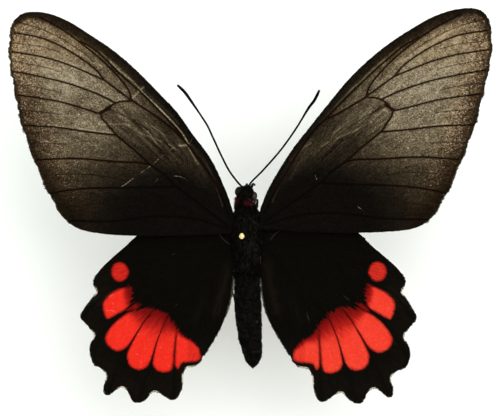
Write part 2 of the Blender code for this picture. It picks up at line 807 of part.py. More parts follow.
def make_wings():
    fore = fore_outline()
    hind = hind_outline()
    costa = smooth_curve([FORE_ROOT[0], *FORE_COSTA], VEIN_STEP)
    fore_veins = [smooth_curve(vein, VEIN_STEP) for vein in FORE_VEINS.values()]
    fore_veins.append(inset_line(costa, COSTA_INSET))
    hind_veins = [smooth_curve(vein, VEIN_STEP) for vein in HIND_VEINS.values()]
    slots = []
    for side, word in ((-1, "left"), (1, "right")):
        fore_place = LEFT_FORE_PLACE if side < 0 else RIGHT_PLACE
        hind_place = LEFT_HIND_PLACE if side < 0 else RIGHT_PLACE
        fore_set = (side, fore_place, LEFT_FORE_BENDS, FORE_WING_Z)
        hind_set = (side, hind_place, LEFT_HIND_BENDS, HIND_WING_Z)
        wing(f"forewing_{word}", fore, fore_veins, *fore_set, FORE_TIP_RISE, "wing_grey")
        wing(f"hindwing_{word}", hind, hind_veins, *hind_set, HIND_EDGE_RISE, "wing_black")
        slots.append(wing_slot(FORE_ROOT, *fore_set, 0.0))
        slots.append(wing_slot(HIND_ROOT, *hind_set, HIND_SLOT_REAR))
    return slots


def make_pin():
    """The pin: a ball head, a thin shaft and a point."""
    x, y = PIN_AT
    head_z = PIN_TOP_Z - PIN_HEAD_RADIUS
    profile = [(PIN_TIP_Z, 0.06), (PIN_TIP_Z + PIN_POINT_LENGTH, PIN_RADIUS)]
    neck = math.acos(PIN_RADIUS / PIN_HEAD_RADIUS)
    for index in range(7):
        angle = -neck + (neck + math.radians(80)) * index / 6
        profile.append((head_z + PIN_HEAD_RADIUS * math.sin(angle), PIN_HEAD_RADIUS * math.cos(angle)))
    path = [(x, y, z) for z, _ in profile]
    swept_tube("pin", path, [radius for _, radius in profile], 12, "pin_brass")
    return cylinder_cutter((x, y, PIN_TIP_Z - GAP), (0, 0, 1), PIN_RADIUS + GAP, PIN_TOP_Z)


def make_base(bore):
    """The plain block that the pin stands in, with softened edges and a blind hole."""
    half_x = BASE_SIZE[0] / 2
    half_y = BASE_SIZE[1] / 2
    x, y = BASE_CENTRE
    base = box_cutter((x - half_x, y - half_y, 0.0), (x + half_x, y + half_y, BASE_SIZE[2]))
    base.name = "stand_base"
    base.data.materials.clear()
    base.data.materials.append(material("stand_white"))
    edges = base.modifiers.new("edges", "BEVEL")
    edges.width = BASE_EDGE * MM
    edges.segments = 2
    carve(base, [bore])


def main():
    for old in list(bpy.data.objects):
        bpy.data.objects.remove(old)
    bore = make_pin()
    thorax_bore = bore.copy()
    bpy.context.scene.collection.objects.link(thorax_bore)
    make_base(bore)
    thorax = lofted_body("thorax", THORAX_RINGS, "body_black")
    carve(thorax, [thorax_bore, *make_wings(), *make_legs()])
    make_prothorax()
    lofted_body("abdomen", abdomen_rings(), "body_black")
    head = make_head()
    carve(head, [*make_eyes(), *make_antennae(), *make_palps()])
    make_proboscis()


main()
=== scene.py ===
"""The looks of a pinned, spread Parides orellana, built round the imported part.

Lengths are in millimetres until a mesh is made, and the row frame is the part's own:
+X to the viewer's right seen from above, +Y towards the head, +Z up.
"""

import json
import math

import bpy
import numpy as np
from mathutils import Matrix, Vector
from mathutils.geometry import delaunay_2d_cdt

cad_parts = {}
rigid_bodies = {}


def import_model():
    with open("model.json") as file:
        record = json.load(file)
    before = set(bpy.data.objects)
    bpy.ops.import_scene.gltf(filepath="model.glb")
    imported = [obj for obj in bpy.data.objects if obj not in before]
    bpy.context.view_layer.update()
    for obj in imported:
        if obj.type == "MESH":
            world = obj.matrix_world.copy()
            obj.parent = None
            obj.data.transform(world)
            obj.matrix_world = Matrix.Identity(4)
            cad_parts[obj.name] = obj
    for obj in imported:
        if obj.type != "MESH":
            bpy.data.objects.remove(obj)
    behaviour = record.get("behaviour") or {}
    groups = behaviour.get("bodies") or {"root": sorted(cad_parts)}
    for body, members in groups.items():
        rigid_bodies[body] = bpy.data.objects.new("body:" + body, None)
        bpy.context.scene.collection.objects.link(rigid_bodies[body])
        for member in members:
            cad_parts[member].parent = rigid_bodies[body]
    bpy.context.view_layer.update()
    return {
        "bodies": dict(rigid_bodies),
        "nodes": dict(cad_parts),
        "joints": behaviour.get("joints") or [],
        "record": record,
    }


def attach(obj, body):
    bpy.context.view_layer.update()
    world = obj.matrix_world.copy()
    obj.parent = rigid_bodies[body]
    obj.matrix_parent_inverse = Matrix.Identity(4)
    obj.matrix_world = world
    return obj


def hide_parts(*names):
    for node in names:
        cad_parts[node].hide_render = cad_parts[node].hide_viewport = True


MM = 0.001
SEED = 7332
SIDES = ((-1, "left"), (1, "right"))

# Camera: straight above, at the photo's scale of 0.2 mm a pixel on the wings
PIXEL = 0.2
PHOTO_SIZE = (500, 416)
PHOTO_ORIGIN = (246.5, 237.0)
CAMERA_HEIGHT = 700.0
SENSOR = 36.0

# Stage
FLOOR_REACH = 3000.0
LAMP_AT = (160, 240, 420)
LAMP_AIM = (0, 0, 28)
LAMP_SIZE = 0.5
LAMP_POWER = 1.45
SKY_TINT = (0.965, 1.0, 0.96, 1.0)
SKY_LIGHT = 1.13

# Sizes shared with the part
PIN_AT = (-0.92, 0.24)
PIN_RADIUS = 0.25
PIN_TIP_Z = 2.0
PIN_TOP_Z = 40.0
PIN_POINT_LENGTH = 2.5
PIN_HEAD_RADIUS = 0.62
THORAX_Z = 28.2
HIND_WING_Z = 28.3
FORE_WING_Z = 29.6
FORE_TIP_RISE = 1.3
HIND_EDGE_RISE = -0.5
CAMBER = 0.5
HALF_SPAN = 49.0

# Body rings, as in the part: place along Y, half width, half height, centre X, centre Z
THORAX_RINGS = (
    (5.4, 2.00, 2.00, 0.00, THORAX_Z), (5.0, 2.45, 2.40, 0.00, THORAX_Z), (4.1, 2.85, 2.80, 0.00, THORAX_Z),
    (2.6, 3.10, 3.05, 0.00, THORAX_Z), (0.5, 3.15, 3.10, 0.00, THORAX_Z),
    (-1.4, 3.00, 2.95, 0.02, THORAX_Z - 0.1), (-2.8, 2.70, 2.65, 0.04, THORAX_Z - 0.3),
    (-3.7, 2.35, 2.30, 0.05, THORAX_Z - 0.5),
)
PROTHORAX_RINGS = (
    (6.6, 1.55, 1.62, -0.50, 28.3), (6.1, 1.75, 1.80, -0.34, 28.2), (5.7, 2.00, 1.95, -0.20, 28.2),
)
ABDOMEN_SPINE = (
    (-4.0, 2.20, 2.15, 0.05, 27.4), (-5.5, 2.50, 2.45, 0.08, 27.0), (-8.5, 2.62, 2.60, 0.13, 26.8),
    (-12.6, 2.78, 2.70, 0.22, 26.6), (-16.2, 2.72, 2.65, 0.40, 26.5), (-18.6, 2.52, 2.50, 0.60, 26.4),
    (-21.0, 2.32, 2.30, 0.80, 26.3), (-23.4, 2.02, 2.05, 1.22, 26.2), (-24.8, 1.55, 1.60, 1.28, 26.2),
    (-25.9, 0.75, 0.85, 1.30, 26.2), (-26.3, 0.30, 0.35, 1.30, 26.2),
)
ABDOMEN_SEGMENTS = 8
HEAD_CENTRE = (-0.1, 8.6, 28.3)
HEAD_TURN = math.radians(-20)
HEAD_RINGS = (
    (1.80, 0.20, 0.25), (1.70, 0.55, 0.65), (1.35, 1.05, 1.20), (0.80, 1.42, 1.60), (0.10, 1.58, 1.75),
    (-0.70, 1.55, 1.68), (-1.35, 1.42, 1.52), (-1.62, 1.28, 1.34),
)
EYE_HALF_AXES = (0.85, 1.05, 1.05)
EYE_PLACE = (1.50, 0.02, 0.10)
ANTENNA_ROOT = (0.45, 1.10, 1.15)
ANTENNA_RIGHT = (
    (0.80, 10.75, 29.9), (3.35, 13.40, 30.1), (6.85, 17.40, 30.3), (9.85, 21.60, 30.5),
    (12.30, 25.60, 30.6), (13.62, 27.40, 30.6), (14.60, 29.40, 30.6),
)
ANTENNA_LEFT = (
    (-1.25, 10.40, 29.9), (-3.30, 13.00, 30.1), (-4.90, 16.00, 30.3), (-6.67, 19.80, 30.5),
    (-7.68, 22.00, 30.55), (-8.65, 23.60, 30.6), (-10.95, 27.00, 30.6), (-12.40, 29.00, 30.6),
    (-13.85, 30.40, 30.6),
)
PALP_LEFT = ((-0.45, 1.10, -1.25), (-0.50, 1.50, -1.62), (-0.50, 1.85, -1.45), (-0.50, 1.95, -1.00))
PALP_RIGHT = (
    (0.45, 1.10, -1.25), (0.55, 1.70, -1.50), (0.60, 2.20, -1.10), (0.75, 2.42, -0.50), (1.10, 2.25, -0.20),
)
PALP_RADII = (0.32, 0.36, 0.32, 0.18)
PROBOSCIS_CENTRE = (0.0, 0.95, -2.75)
PROBOSCIS_TURNS = 3.2
PROBOSCIS_RADII = (1.05, 0.12)
LEG_PATHS = {
    "foreleg": (
        (1.10, 4.20, 26.00), (1.75, 5.30, 25.30), (2.15, 6.70, 25.55), (2.15, 7.45, 25.20),
        (1.75, 7.20, 24.20), (1.45, 6.10, 23.00), (1.30, 5.00, 22.00),
    ),
    "midleg": (
        (1.75, 1.90, 26.00), (2.65, 1.30, 25.10), (4.20, 0.20, 24.70), (4.90, -1.00, 24.10),
        (4.50, -3.20, 23.20), (3.70, -5.40, 22.40), (3.10, -7.60, 21.80),
    ),
    "hindleg": (
        (1.50, -1.90, 26.00), (2.20, -2.80, 25.10), (3.30, -4.40, 24.60), (3.90, -6.40, 23.90),
        (3.40, -9.00, 23.00), (2.70, -11.60, 22.40), (2.20, -14.00, 21.90),
    ),
}

# The left foreleg is drawn in by this factor, so that it doesn't show from above
LEFT_FORELEG_TUCK = 0.8

# Leg radius at places along it from 0 to 1, and the foot's part of it
LEG_SHAPE = (
    (0.0, 0.40), (0.10, 0.38), (0.14, 0.26), (0.30, 0.33), (0.44, 0.22), (0.47, 0.19), (0.66, 0.21),
    (0.70, 0.15), (1.0, 0.12),
)
TARSUS_START = 0.70
TARSUS_JOINTS = 5

# A claw's points: ahead of the foot, to the side and down
CLAW = ((-0.05, 0.0, 0.0), (0.12, 0.10, 0.0), (0.24, 0.13, 0.05), (0.27, 0.10, 0.16))

# Where spines stand along a leg: first place, last place and spacing; and a spine's radii
SPINE_SPAN = (0.48, 0.98, 0.022)
SPINE_RADII = (0.022, 0.016, 0.004)

# Antennae: radius, what club and root add to it, and spacing of the rings
ANTENNA_RADIUS = 0.20
CLUB_SWELL = 0.11
ROOT_SWELL = 0.07
RING_SPACING = 0.36

# Fineness of the eyes
EYE_RINGS = 28
EYE_SIDES = 40

# Right forewing, as in the part
FORE_ROOT = ((2.6, 4.9), (2.6, 1.6))
FORE_COSTA = (
    (3.2, 6.7), (4.7, 10.2), (8.7, 16.8), (12.7, 22.0), (16.7, 27.0), (20.7, 31.8), (24.7, 35.6),
    (28.7, 38.8), (32.7, 41.4), (36.7, 43.7), (40.7, 45.2), (44.3, 45.7), (46.6, 45.3), (48.0, 44.0),
)
FORE_MARGIN_ENDS = (
    (48.8, 41.6), (49.0, 37.4), (48.4, 33.4), (47.3, 28.8), (45.9, 23.1), (43.6, 16.8), (40.7, 9.8),
    (38.1, 5.4),
)
FORE_SCALLOP = 0.22
FORE_HIND_EDGE = (
    (36.25, 3.35), (34.5, 2.15), (31.7, 1.4), (26.7, 1.0), (20.0, 0.85), (12.0, 1.0), (6.0, 1.4),
)

# Right hindwing, as in the part
HIND_ROOT = ((2.6, -2.2), (2.6, 1.9))
HIND_COSTA = (
    (4.2, 2.2), (7.5, 2.3), (12.7, 2.9), (18.0, 2.4), (22.1, 1.0), (24.9, -1.6), (27.7, -4.0), (29.9, -5.9),
)
HIND_MARGIN = (
    (31.3, -7.7), (31.7, -9.2), (31.0, -11.0), (31.8, -12.2), (33.5, -15.0), (33.9, -16.4), (32.5, -18.1),
    (31.4, -20.0), (32.5, -22.2), (32.6, -24.2), (31.7, -26.1), (30.1, -26.7), (28.8, -28.2), (29.2, -30.2),
    (29.2, -31.5), (28.4, -32.0), (27.0, -30.9), (25.5, -30.2), (24.1, -31.1), (23.3, -32.8), (22.1, -33.2),
    (20.7, -32.6), (19.2, -31.1), (17.6, -31.5), (15.6, -32.8), (14.4, -32.5), (13.6, -30.4), (13.2, -27.6),
    (12.3, -26.3), (10.7, -26.0), (9.4, -24.9),
)
HIND_INNER_EDGE = (
    (8.5, -23.4), (6.3, -19.8), (4.9, -17.2), (3.9, -14.8), (3.3, -12.2), (3.0, -9.4), (2.9, -6.0),
    (2.8, -3.8),
)

# Veins of the right wings, as in the part
FORE_VEINS = {
    "radial_stem": ((3.4, 4.6), (7.2, 11.8), (10.7, 17.4), (14.7, 22.6), (18.7, 24.9), (23.9, 28.0)),
    "radial_1": (
        (14.7, 22.6), (18.7, 26.6), (22.7, 30.55), (25.8, 33.5), (27.4, 34.9), (29.7, 36.9), (31.4, 38.2),
        (34.5, 40.0),
    ),
    "radial_3": (
        (23.9, 28.0), (24.9, 30.6), (28.7, 34.9), (32.7, 38.3), (36.7, 41.2), (40.0, 43.1), (43.0, 44.6),
    ),
    "radial_stalk": ((23.9, 28.0), (25.5, 29.2), (29.5, 32.1)),
    "radial_4": ((29.5, 32.1), (31.3, 34.2), (34.7, 36.7), (38.7, 38.9), (42.7, 40.4), (48.0, 41.3)),
    "radial_5": ((29.5, 32.1), (31.7, 33.0), (36.7, 35.0), (41.7, 36.4), (48.4, 37.4)),
    "cell_end": ((23.9, 28.0), (26.9, 27.5), (29.2, 25.2), (28.2, 22.9), (26.9, 21.0)),
    "medial_1": ((26.9, 27.5), (30.7, 29.2), (36.7, 31.2), (42.7, 32.5), (47.8, 33.4)),
    "medial_2": ((29.2, 25.2), (32.7, 26.0), (38.7, 27.5), (46.7, 28.6)),
    "medial_3": ((26.9, 21.0), (32.7, 21.5), (38.7, 22.2), (45.1, 22.4)),
    "cubital_stem": (
        (3.5, 3.0), (9.2, 6.9), (14.7, 10.8), (17.0, 13.1), (19.7, 15.0), (23.4, 18.2), (26.9, 21.0),
    ),
    "cubital_1": ((19.7, 15.0), (22.0, 15.5), (26.7, 15.6), (34.7, 16.0), (42.4, 15.5)),
    "cubital_2": ((14.7, 10.8), (22.7, 10.5), (30.7, 10.2), (36.0, 9.6), (39.7, 8.8)),
    "anal": ((3.6, 2.4), (10.7, 4.4), (18.7, 4.8), (27.7, 3.7), (36.0, 3.5)),
}
HIND_VEINS = {
    "subcosta": ((3.4, 0.3), (10.0, 1.0), (17.0, 0.2), (22.5, -1.6), (25.2, -3.0)),
    "radial_stem": ((3.4, -0.4), (9.0, -0.9), (14.0, -1.9), (17.7, -3.6)),
    "radial_branch": ((17.7, -3.6), (21.7, -3.8), (25.7, -4.4), (28.7, -6.0), (31.1, -8.6)),
    "cell_end": ((17.7, -3.6), (19.7, -6.6), (20.3, -10.6), (18.3, -13.2), (15.1, -13.2)),
    "medial_1": ((19.7, -6.6), (24.5, -9.2), (27.7, -10.2), (29.7, -11.6), (33.3, -16.0)),
    "medial_2": ((20.3, -10.6), (24.7, -14.4), (28.9, -18.6), (32.0, -23.4)),
    "medial_3": ((18.3, -13.2), (21.2, -17.0), (24.0, -21.8), (26.7, -27.0), (28.2, -31.3)),
    "cubital_stem": ((3.4, -1.2), (7.5, -5.4), (11.7, -10.6), (15.1, -13.2)),
    "cubital_1": ((15.1, -13.2), (17.4, -18.3), (18.5, -21.3), (19.3, -24.3), (20.0, -26.6), (21.9, -32.5)),
    "cubital_2": ((11.7, -10.6), (14.2, -18.8), (14.7, -23.0), (14.8, -27.0), (15.1, -32.1)),
    "anal": ((3.3, -1.9), (5.2, -8.0), (8.4, -16.0), (10.6, -20.7)),
}

# Two veins of the left forewing where they run otherwise than the mirrored right ones
LEFT_RADIAL_STEM = (
    (-11.3, 17.9), (-12.7, 19.5), (-14.7, 21.5), (-16.9, 23.3), (-19.2, 24.9), (-21.2, 26.2), (-23.1, 27.5),
)
LEFT_RADIAL_1 = (
    (-12.7, 19.6), (-13.8, 21.4), (-16.0, 23.7), (-18.2, 26.0), (-20.4, 28.3), (-22.6, 30.2), (-25.7, 33.0),
    (-28.0, 35.3),
)

# Creases between the veins, each from the margin inward
FORE_FOLDS = (
    ((47.4, 43.6), (42.7, 42.2), (38.7, 40.5), (34.7, 38.2), (31.7, 35.8)),
    ((48.4, 39.2), (42.7, 38.6), (38.7, 37.6)),
    ((48.2, 35.5), (41.7, 34.4), (38.7, 33.6)),
    ((47.6, 30.7), (43.7, 30.4), (38.7, 29.4)),
    ((46.4, 25.5), (41.0, 25.2), (37.7, 24.8)),
    ((44.3, 18.9), (40.0, 18.9), (36.7, 18.8)),
    ((41.6, 12.2), (36.7, 12.8), (30.7, 12.8), (26.7, 12.2)),
    ((38.6, 6.0), (32.7, 6.8), (28.7, 7.4), (24.7, 7.8)),
    ((27.5, 26.0), (25.8, 25.2), (22.4, 23.2), (20.9, 22.2), (18.0, 19.9), (15.1, 17.7)),
    ((24.5, 22.5), (20.5, 20.0), (16.5, 17.0)),
)
HIND_FOLDS = (
    ((28.0, -7.5), (24.0, -6.2), (21.0, -5.4)),
    ((29.5, -13.5), (26.0, -12.0), (22.5, -9.9)),
    ((30.0, -22.5), (26.0, -18.0), (21.5, -13.8)),
    ((24.5, -29.0), (22.0, -23.0), (18.5, -16.0)),
    ((18.5, -30.0), (17.0, -23.0), (14.5, -16.0)),
    ((12.8, -25.5), (12.2, -20.0), (10.2, -13.0)),
)

# Red patches of the right hindwing, each a smooth closed curve that laps over the veins beside it
RED_PATCHES = {
    "costal": (
        (26.25, -4.85), (27.6, -5.45), (28.15, -6.9), (27.6, -8.35), (26.2, -8.95), (24.95, -8.35),
        (24.35, -6.9), (25.0, -5.45),
    ),
    "second": (
        (23.9, -9.6), (25.2, -9.85), (26.6, -10.35), (28.25, -11.3), (29.6, -12.8), (29.8, -14.0),
        (29.4, -15.7), (28.8, -16.6), (27.5, -16.0), (25.9, -15.1), (24.5, -14.2), (23.7, -12.6),
        (23.6, -11.0),
    ),
    "sliver": ((21.6, -13.4), (22.8, -13.1), (24.0, -13.9), (25.0, -14.9), (24.0, -14.9), (22.6, -14.4)),
    "third": (
        (18.8, -14.1), (20.2, -14.0), (21.9, -14.2), (24.0, -14.9), (25.9, -16.05), (27.8, -17.75),
        (29.0, -19.6), (29.3, -21.1), (28.5, -22.4), (27.0, -23.2), (25.5, -22.9), (23.9, -21.6),
        (22.4, -19.35), (20.8, -17.0), (19.5, -15.1),
    ),
    "fourth": (
        (16.2, -15.4), (17.6, -14.7), (18.9, -14.3), (20.8, -16.2), (22.4, -18.8), (23.7, -21.1),
        (24.6, -23.35), (24.6, -24.6), (24.2, -25.8), (23.2, -26.6), (21.7, -26.8), (20.2, -25.95),
        (19.25, -24.0), (18.45, -21.6), (17.5, -19.0), (16.7, -16.9),
    ),
    "fifth": (
        (14.3, -17.7), (15.1, -16.8), (16.3, -15.8), (17.35, -17.25), (18.3, -19.7), (19.0, -22.5),
        (19.35, -24.9), (19.1, -26.1), (18.3, -27.0), (16.8, -27.4), (15.5, -27.0), (15.0, -25.7),
        (14.8, -23.0), (14.5, -20.0),
    ),
    "anal": (
        (14.4, -17.9), (13.8, -18.9), (12.6, -19.9), (11.1, -20.7), (10.0, -21.8), (9.4, -23.2),
        (9.35, -24.6), (10.4, -25.15), (12.2, -25.35), (13.3, -25.6), (14.0, -26.7), (14.7, -26.0),
        (14.7, -23.0), (14.6, -20.0),
    ),
}

# Where the red ends towards the body
RED_INNER_EDGE = (
    (23.6, -9.2), (23.5, -11.2), (22.2, -13.2), (19.7, -14.0), (17.9, -14.4), (15.9, -16.2), (14.2, -18.0),
    (12.6, -19.7), (11.1, -20.6), (9.9, -21.8),
)

# Depth of the dull red behind that edge, at places along X
DULL_PLACES = (9.5, 10.5, 12.6, 14.0, 16.5, 19.0, 21.0, 23.0, 26.0)
DULL_DEPTHS = (0.6, 0.8, 1.1, 1.7, 3.3, 4.9, 4.6, 3.3, 1.5)

# Widths of the hindwing's veins, at radii from its root
HIND_VEIN_PLACES = (20.0, 23.0, 26.0, 29.0, 31.0)
HIND_VEIN_WIDTHS = (0.45, 0.50, 0.60, 0.95, 1.5)

# Paler lines: points, half width and strength, on both forewings and on one only. The thin ones are mostly
# painted highlights along veins and wrinkles; the wide, weak ones are paler scale tone.
FORE_HIGHLIGHTS_AND_PALE_LINES = (
    (((5.1, 7.0), (6.2, 9.8), (7.6, 12.6), (9.5, 15.8), (11.1, 17.9), (12.9, 19.6)), 0.15, 0.22),
    (
        (
            (14.8, 22.9), (20.7, 29.3), (22.7, 31.0), (24.3, 32.6), (25.8, 34.0), (27.4, 35.4),
            (28.9, 36.6), (30.5, 37.9),
        ),
        0.14,
        0.34,
    ),
    (((17.3, 20.7), (20.4, 23.1)), 0.12, 0.34),
    (((18.0, 19.7), (19.7, 20.4), (22.4, 21.6)), 0.12, 0.32),
    (((15.1, 18.1), (16.5, 19.1)), 0.14, 0.30),
    (((12.3, 17.6), (10.4, 14.6), (8.8, 11.8)), 0.30, 0.08),
    (((32.8, 30.2), (36.5, 32.4), (40.7, 34.2)), 0.35, 0.12),
    (((36.0, 32.0), (39.0, 33.0), (41.5, 33.8)), 1.2, 0.15),
    (((29.9, 34.8), (32.0, 35.8), (33.6, 36.8), (35.1, 37.7), (36.7, 38.5), (40.4, 40.9)), 0.30, 0.16),
    (((37.3, 22.4), (40.5, 22.7)), 0.12, 0.34),
)
HIGHLIGHTS_AND_PALE_LINES_RIGHT = (
    (((8.7, 15.3), (10.7, 17.2), (12.9, 18.9)), 0.12, 0.34),
    (((27.1, 26.0), (28.5, 24.7)), 0.16, 0.14),
)
HIGHLIGHTS_AND_PALE_LINES_LEFT = (
    (((-27.3, 35.2), (-25.5, 33.4), (-22.6, 31.0), (-20.9, 29.0)), 0.11, 0.80),
    (
        ((-20.9, 29.0), (-18.2, 26.5), (-16.0, 24.3), (-13.7, 21.8), (-12.4, 20.1), (-11.7, 18.7)),
        0.11,
        1.60,
    ),
    (((-20.6, 30.0), (-21.5, 29.2)), 0.22, 0.80),
    (((-21.5, 29.2), (-22.9, 27.6)), 0.14, 0.35),
    (((-36.5, 31.0), (-40.5, 33.0)), 1.5, 0.10),
    (((-11.6, 18.6), (-12.5, 18.3), (-13.4, 18.3)), 0.24, 0.50),
    (((-33.5, 21.6), (-29.3, 21.05), (-26.5, 20.7)), 0.15, 0.40),
    (((-18.6, 19.2), (-20.4, 23.2)), 0.9, 0.10),
    (((-40.0, 30.2), (-42.5, 30.6)), 1.2, 0.10),
    (((-37.5, 24.0), (-43.5, 23.2)), 1.6, 0.05),
    (((-20.5, 24.9), (-23.0, 25.9), (-25.6, 27.0)), 0.9, 0.13),
    (((-11.7, 18.1), (-10.6, 16.0), (-9.7, 14.6)), 0.22, 0.26),
    (((-32.0, 24.5), (-35.5, 24.2), (-37.5, 24.4)), 0.14, 0.26),
    (((-29.5, 22.5), (-26.0, 22.6), (-23.3, 22.4)), 0.12, 0.34),
)

# Darker lines, each with half width and strength, as they lie
SHADES_RIGHT = (
    (((32.0, 38.5), (36.0, 41.2), (40.0, 43.2), (43.5, 44.4), (46.0, 43.6)), 1.0, 0.48),
    (((43.0, 43.9), (44.5, 43.8), (46.5, 43.0), (47.9, 41.3)), 1.0, 0.45),
    (((42.8, 28.2), (46.0, 27.8)), 1.6, 0.12),
    (((28.3, 26.2), (31.0, 26.4)), 0.8, 0.18),
    (((22.8, 28.0), (24.2, 29.0)), 0.7, 0.22),
    (((28.5, 35.6), (31.0, 37.6), (33.5, 39.4)), 0.7, 0.38),
    (((34.7, 32.4), (36.0, 32.8)), 1.6, 0.08),
)
SHADES_LEFT = (
    (((-28.0, 17.0), (-37.0, 17.6)), 2.8, 0.13),
    (((-25.0, 13.2), (-32.0, 13.6)), 2.0, 0.22),
    (((-28.0, 25.3), (-34.0, 26.2)), 2.6, 0.21),
    (((-24.5, 17.5), (-29.0, 17.8)), 2.6, 0.14),
    (((-22.8, 22.0), (-24.8, 23.6)), 0.7, 0.20),
    (((-39.5, 41.2), (-45.5, 41.8)), 1.6, 0.15),
    (((-30.5, 34.5), (-35.5, 37.2), (-39.5, 39.0)), 1.4, 0.12),
    (((-42.3, 27.4), (-40.3, 21.4)), 4.0, 0.30),
    (((-35.3, 24.4), (-34.0, 26.0)), 3.0, 0.14),
)

# Paler lines of painted sheen on the right hindwing's black, the middle of the forewing's wrinkles, whose
# light and shade is painted, and the blot on its cross vein
HIND_SHEEN_LINES = (
    (((4.3, -5.6), (5.0, -10.0), (6.2, -15.0)), 0.9, 0.09),
    (((9.2, -12.5), (10.8, -16.8)), 0.8, 0.04),
    (((28.6, -11.0), (31.0, -13.0)), 0.9, 0.08),
)
WRINKLE_LINE = ((14.0, 15.8), (20.0, 20.4), (26.0, 24.2))
FORE_BLOT = ((27.8, 26.4), (29.4, 25.4))

# Rubbed lines where scales are missing, on each side as they lie; on the hindwings the first line of each
# side is painted shine along the vein bases instead
SCRATCHES_RIGHT = (
    ((29.0, 25.1), (29.9, 23.6), (31.3, 21.8)),
    ((28.7, 18.8), (29.6, 19.6), (30.6, 20.0)),
    ((13.8, 12.2), (14.0, 11.7)),
    ((22.5, 5.9), (23.3, 5.3)),
    ((46.7, 40.8), (47.0, 39.7), (47.9, 38.1), (48.0, 37.4)),
    ((46.4, 42.6), (47.2, 42.0)),
    ((39.2, 8.7), (39.8, 8.2)),
    ((34.5, 14.4), (37.2, 15.2), (38.0, 14.2)),
)
SCRATCHES_LEFT = (
    ((-20.7, 29.9), (-21.6, 28.9), (-22.8, 27.8)),
    ((-10.6, 20.1), (-11.4, 18.7), (-12.3, 18.3), (-13.4, 18.3)),
    ((-14.7, 17.8), (-15.3, 17.4)),
    ((-16.7, 16.3), (-17.4, 15.8), (-18.3, 14.9)),
    ((-19.0, 14.4), (-19.6, 13.9), (-21.2, 12.8)),
    ((-22.7, 11.7), (-24.4, 10.4), (-25.3, 10.0)),
    ((-11.7, 18.1), (-10.9, 16.6), (-10.2, 15.4), (-9.6, 14.6)),
    ((-19.8, 21.2), (-18.9, 20.0), (-17.9, 18.5)),
    ((-14.3, 12.2), (-13.3, 12.1), (-12.2, 11.6)),
    ((-17.6, 11.7), (-18.1, 11.2)),
)
HIND_RUBS_AND_SHINE_RIGHT = (
    ((6.5, 1.1), (5.6, 0.5), (4.9, -0.5)),
    ((19.6, -11.9), (20.4, -12.5)),
    ((12.1, -15.4), (12.5, -16.6)),
)
HIND_RUBS_AND_SHINE_LEFT = (
    ((-5.7, 0.8), (-4.5, -0.6), (-3.5, -1.4)),
    ((-28.0, -14.8), (-27.0, -14.7), (-26.2, -15.2)),
    ((-27.4, -11.9), (-26.8, -11.6)),
    ((-14.6, -3.4), (-14.8, -3.5)),
    ((-14.0, -13.6), (-14.2, -13.7)),
)

# Notches of the right hindwing's margin, where the fringe is cream
HIND_NOTCHES = (
    (31.0, -11.0), (31.4, -20.0), (28.8, -28.2), (25.5, -30.2), (19.0, -31.1), (13.4, -28.6), (11.6, -26.1),
)

# Veins that show as soft red lines on the red
SOFT_HIND_VEINS = ("cubital_2", "anal")

# How each left wing sits against its mirrored right twin, as in the part
LEFT_FORE_PLACE = (0.985, -1.3, (0.0, -0.9))
LEFT_HIND_PLACE = (0.966, -0.9, (0.2, -0.87))
LEFT_FORE_BENDS = (
    ((-14.5, 24.2), (0.57, 0.56), 5.6),
    ((-8.6, 15.0), (0.65, 0.35), 6.5),
    ((-31.0, 40.5), (-0.08, -0.14), 6.0),
    ((-45.5, 45.5), (0.2, -0.2), 4.0),
    ((-43.5, 19.0), (-0.43, 0.12), 14.0),
    ((-26.0, 0.5), (0.0, -0.24), 9.0),
    ((-28.3, 24.6), (-0.8, 0.0), 2.5),
)
LEFT_HIND_BENDS = (
    ((-24.5, -1.5), (-0.25, 0.3), 6.0),
    ((-32.3, -15.3), (-0.35, 0.0), 2.6),
    ((-31.0, -24.0), (0.5, 0.15), 3.2),
    ((-22.3, -31.5), (0.0, -0.48), 6.0),
    ((-13.4, -29.8), (0.4, 0.0), 2.6),
    ((-4.3, -16.0), (-0.3, -0.05), 3.0),
)

# Fineness of the wing meshes
WING_STEP = 0.34
VEIN_STEP = 0.6
VEIN_HALF_WIDTH = 0.2
VEIN_HEIGHT = 0.13
FOLD_DEPTH = 0.09
SAG_DEPTH = 0.16
SAG_REACH = 1.6
MEMBRANE = 0.08

# How the forewing pales along rays from its root: angle of the ray in degrees,
# radius where it starts, radius where it is reached, and the brightness there
PALE_ANGLES = (0, 10, 16, 22, 30, 40, 46, 52, 56)
PALE_START = (20, 20, 17, 16, 13, 12, 8, 5, 3)
PALE_FULL = (34, 34, 37, 37, 37, 36, 36, 29, 22)
PALE_TOP = (31, 50, 66, 98, 116, 130, 130, 88, 54)
PALE_BASE = 12.5

# How much darker the cell is, and the dark band along the front edge: places along X and widths
CELL_TONE = 0.30
BAND_PLACES = (3.0, 9.0, 20.0, 33.0, 39.0, 42.5, 44.5, 48.0)
BAND_WIDTHS = (0.8, 1.3, 1.6, 1.95, 2.0, 1.45, 1.15, 0.8)

# How the forewing's tone falls at its outer margin on each side, and the width of the dark rim: along Y
EDGE_TONES = {
    1: ((17.0, 23.0, 33.0, 38.0), (0.62, 0.42, 0.48, 0.80)),
    -1: ((20.0, 26.0, 33.0), (0.52, 0.62, 0.95)),
}
RIM_WIDTHS = ((5.0, 25.0, 36.0, 40.0), (1.05, 0.85, 0.62, 0.85))

# The left wing's front band is wider by this, along X
LEFT_BAND = ((7.0, 13.0, 22.0, 29.0), (1.0, 1.4, 1.3, 1.0))

# Brightness of the front band by radius, by depth in the band, and by radius on the left wing alone
BAND_TONES = ((6.0, 16.0, 26.0, 50.0), (15.0, 24.0, 27.0, 32.0))
BAND_DEPTH_TONES = ((0.2, 1.1), (0.72, 1.25))
LEFT_BAND_TONES = ((25.0, 38.0), (0.82, 1.1))

# Widths of the forewing's veins by radius, and how far its warm tone reaches in from the margin
FORE_VEIN_WIDTHS = ((0.0, 22.0, 45.0), (1.35, 1.15, 0.85))
WARM_REACH = 8.0

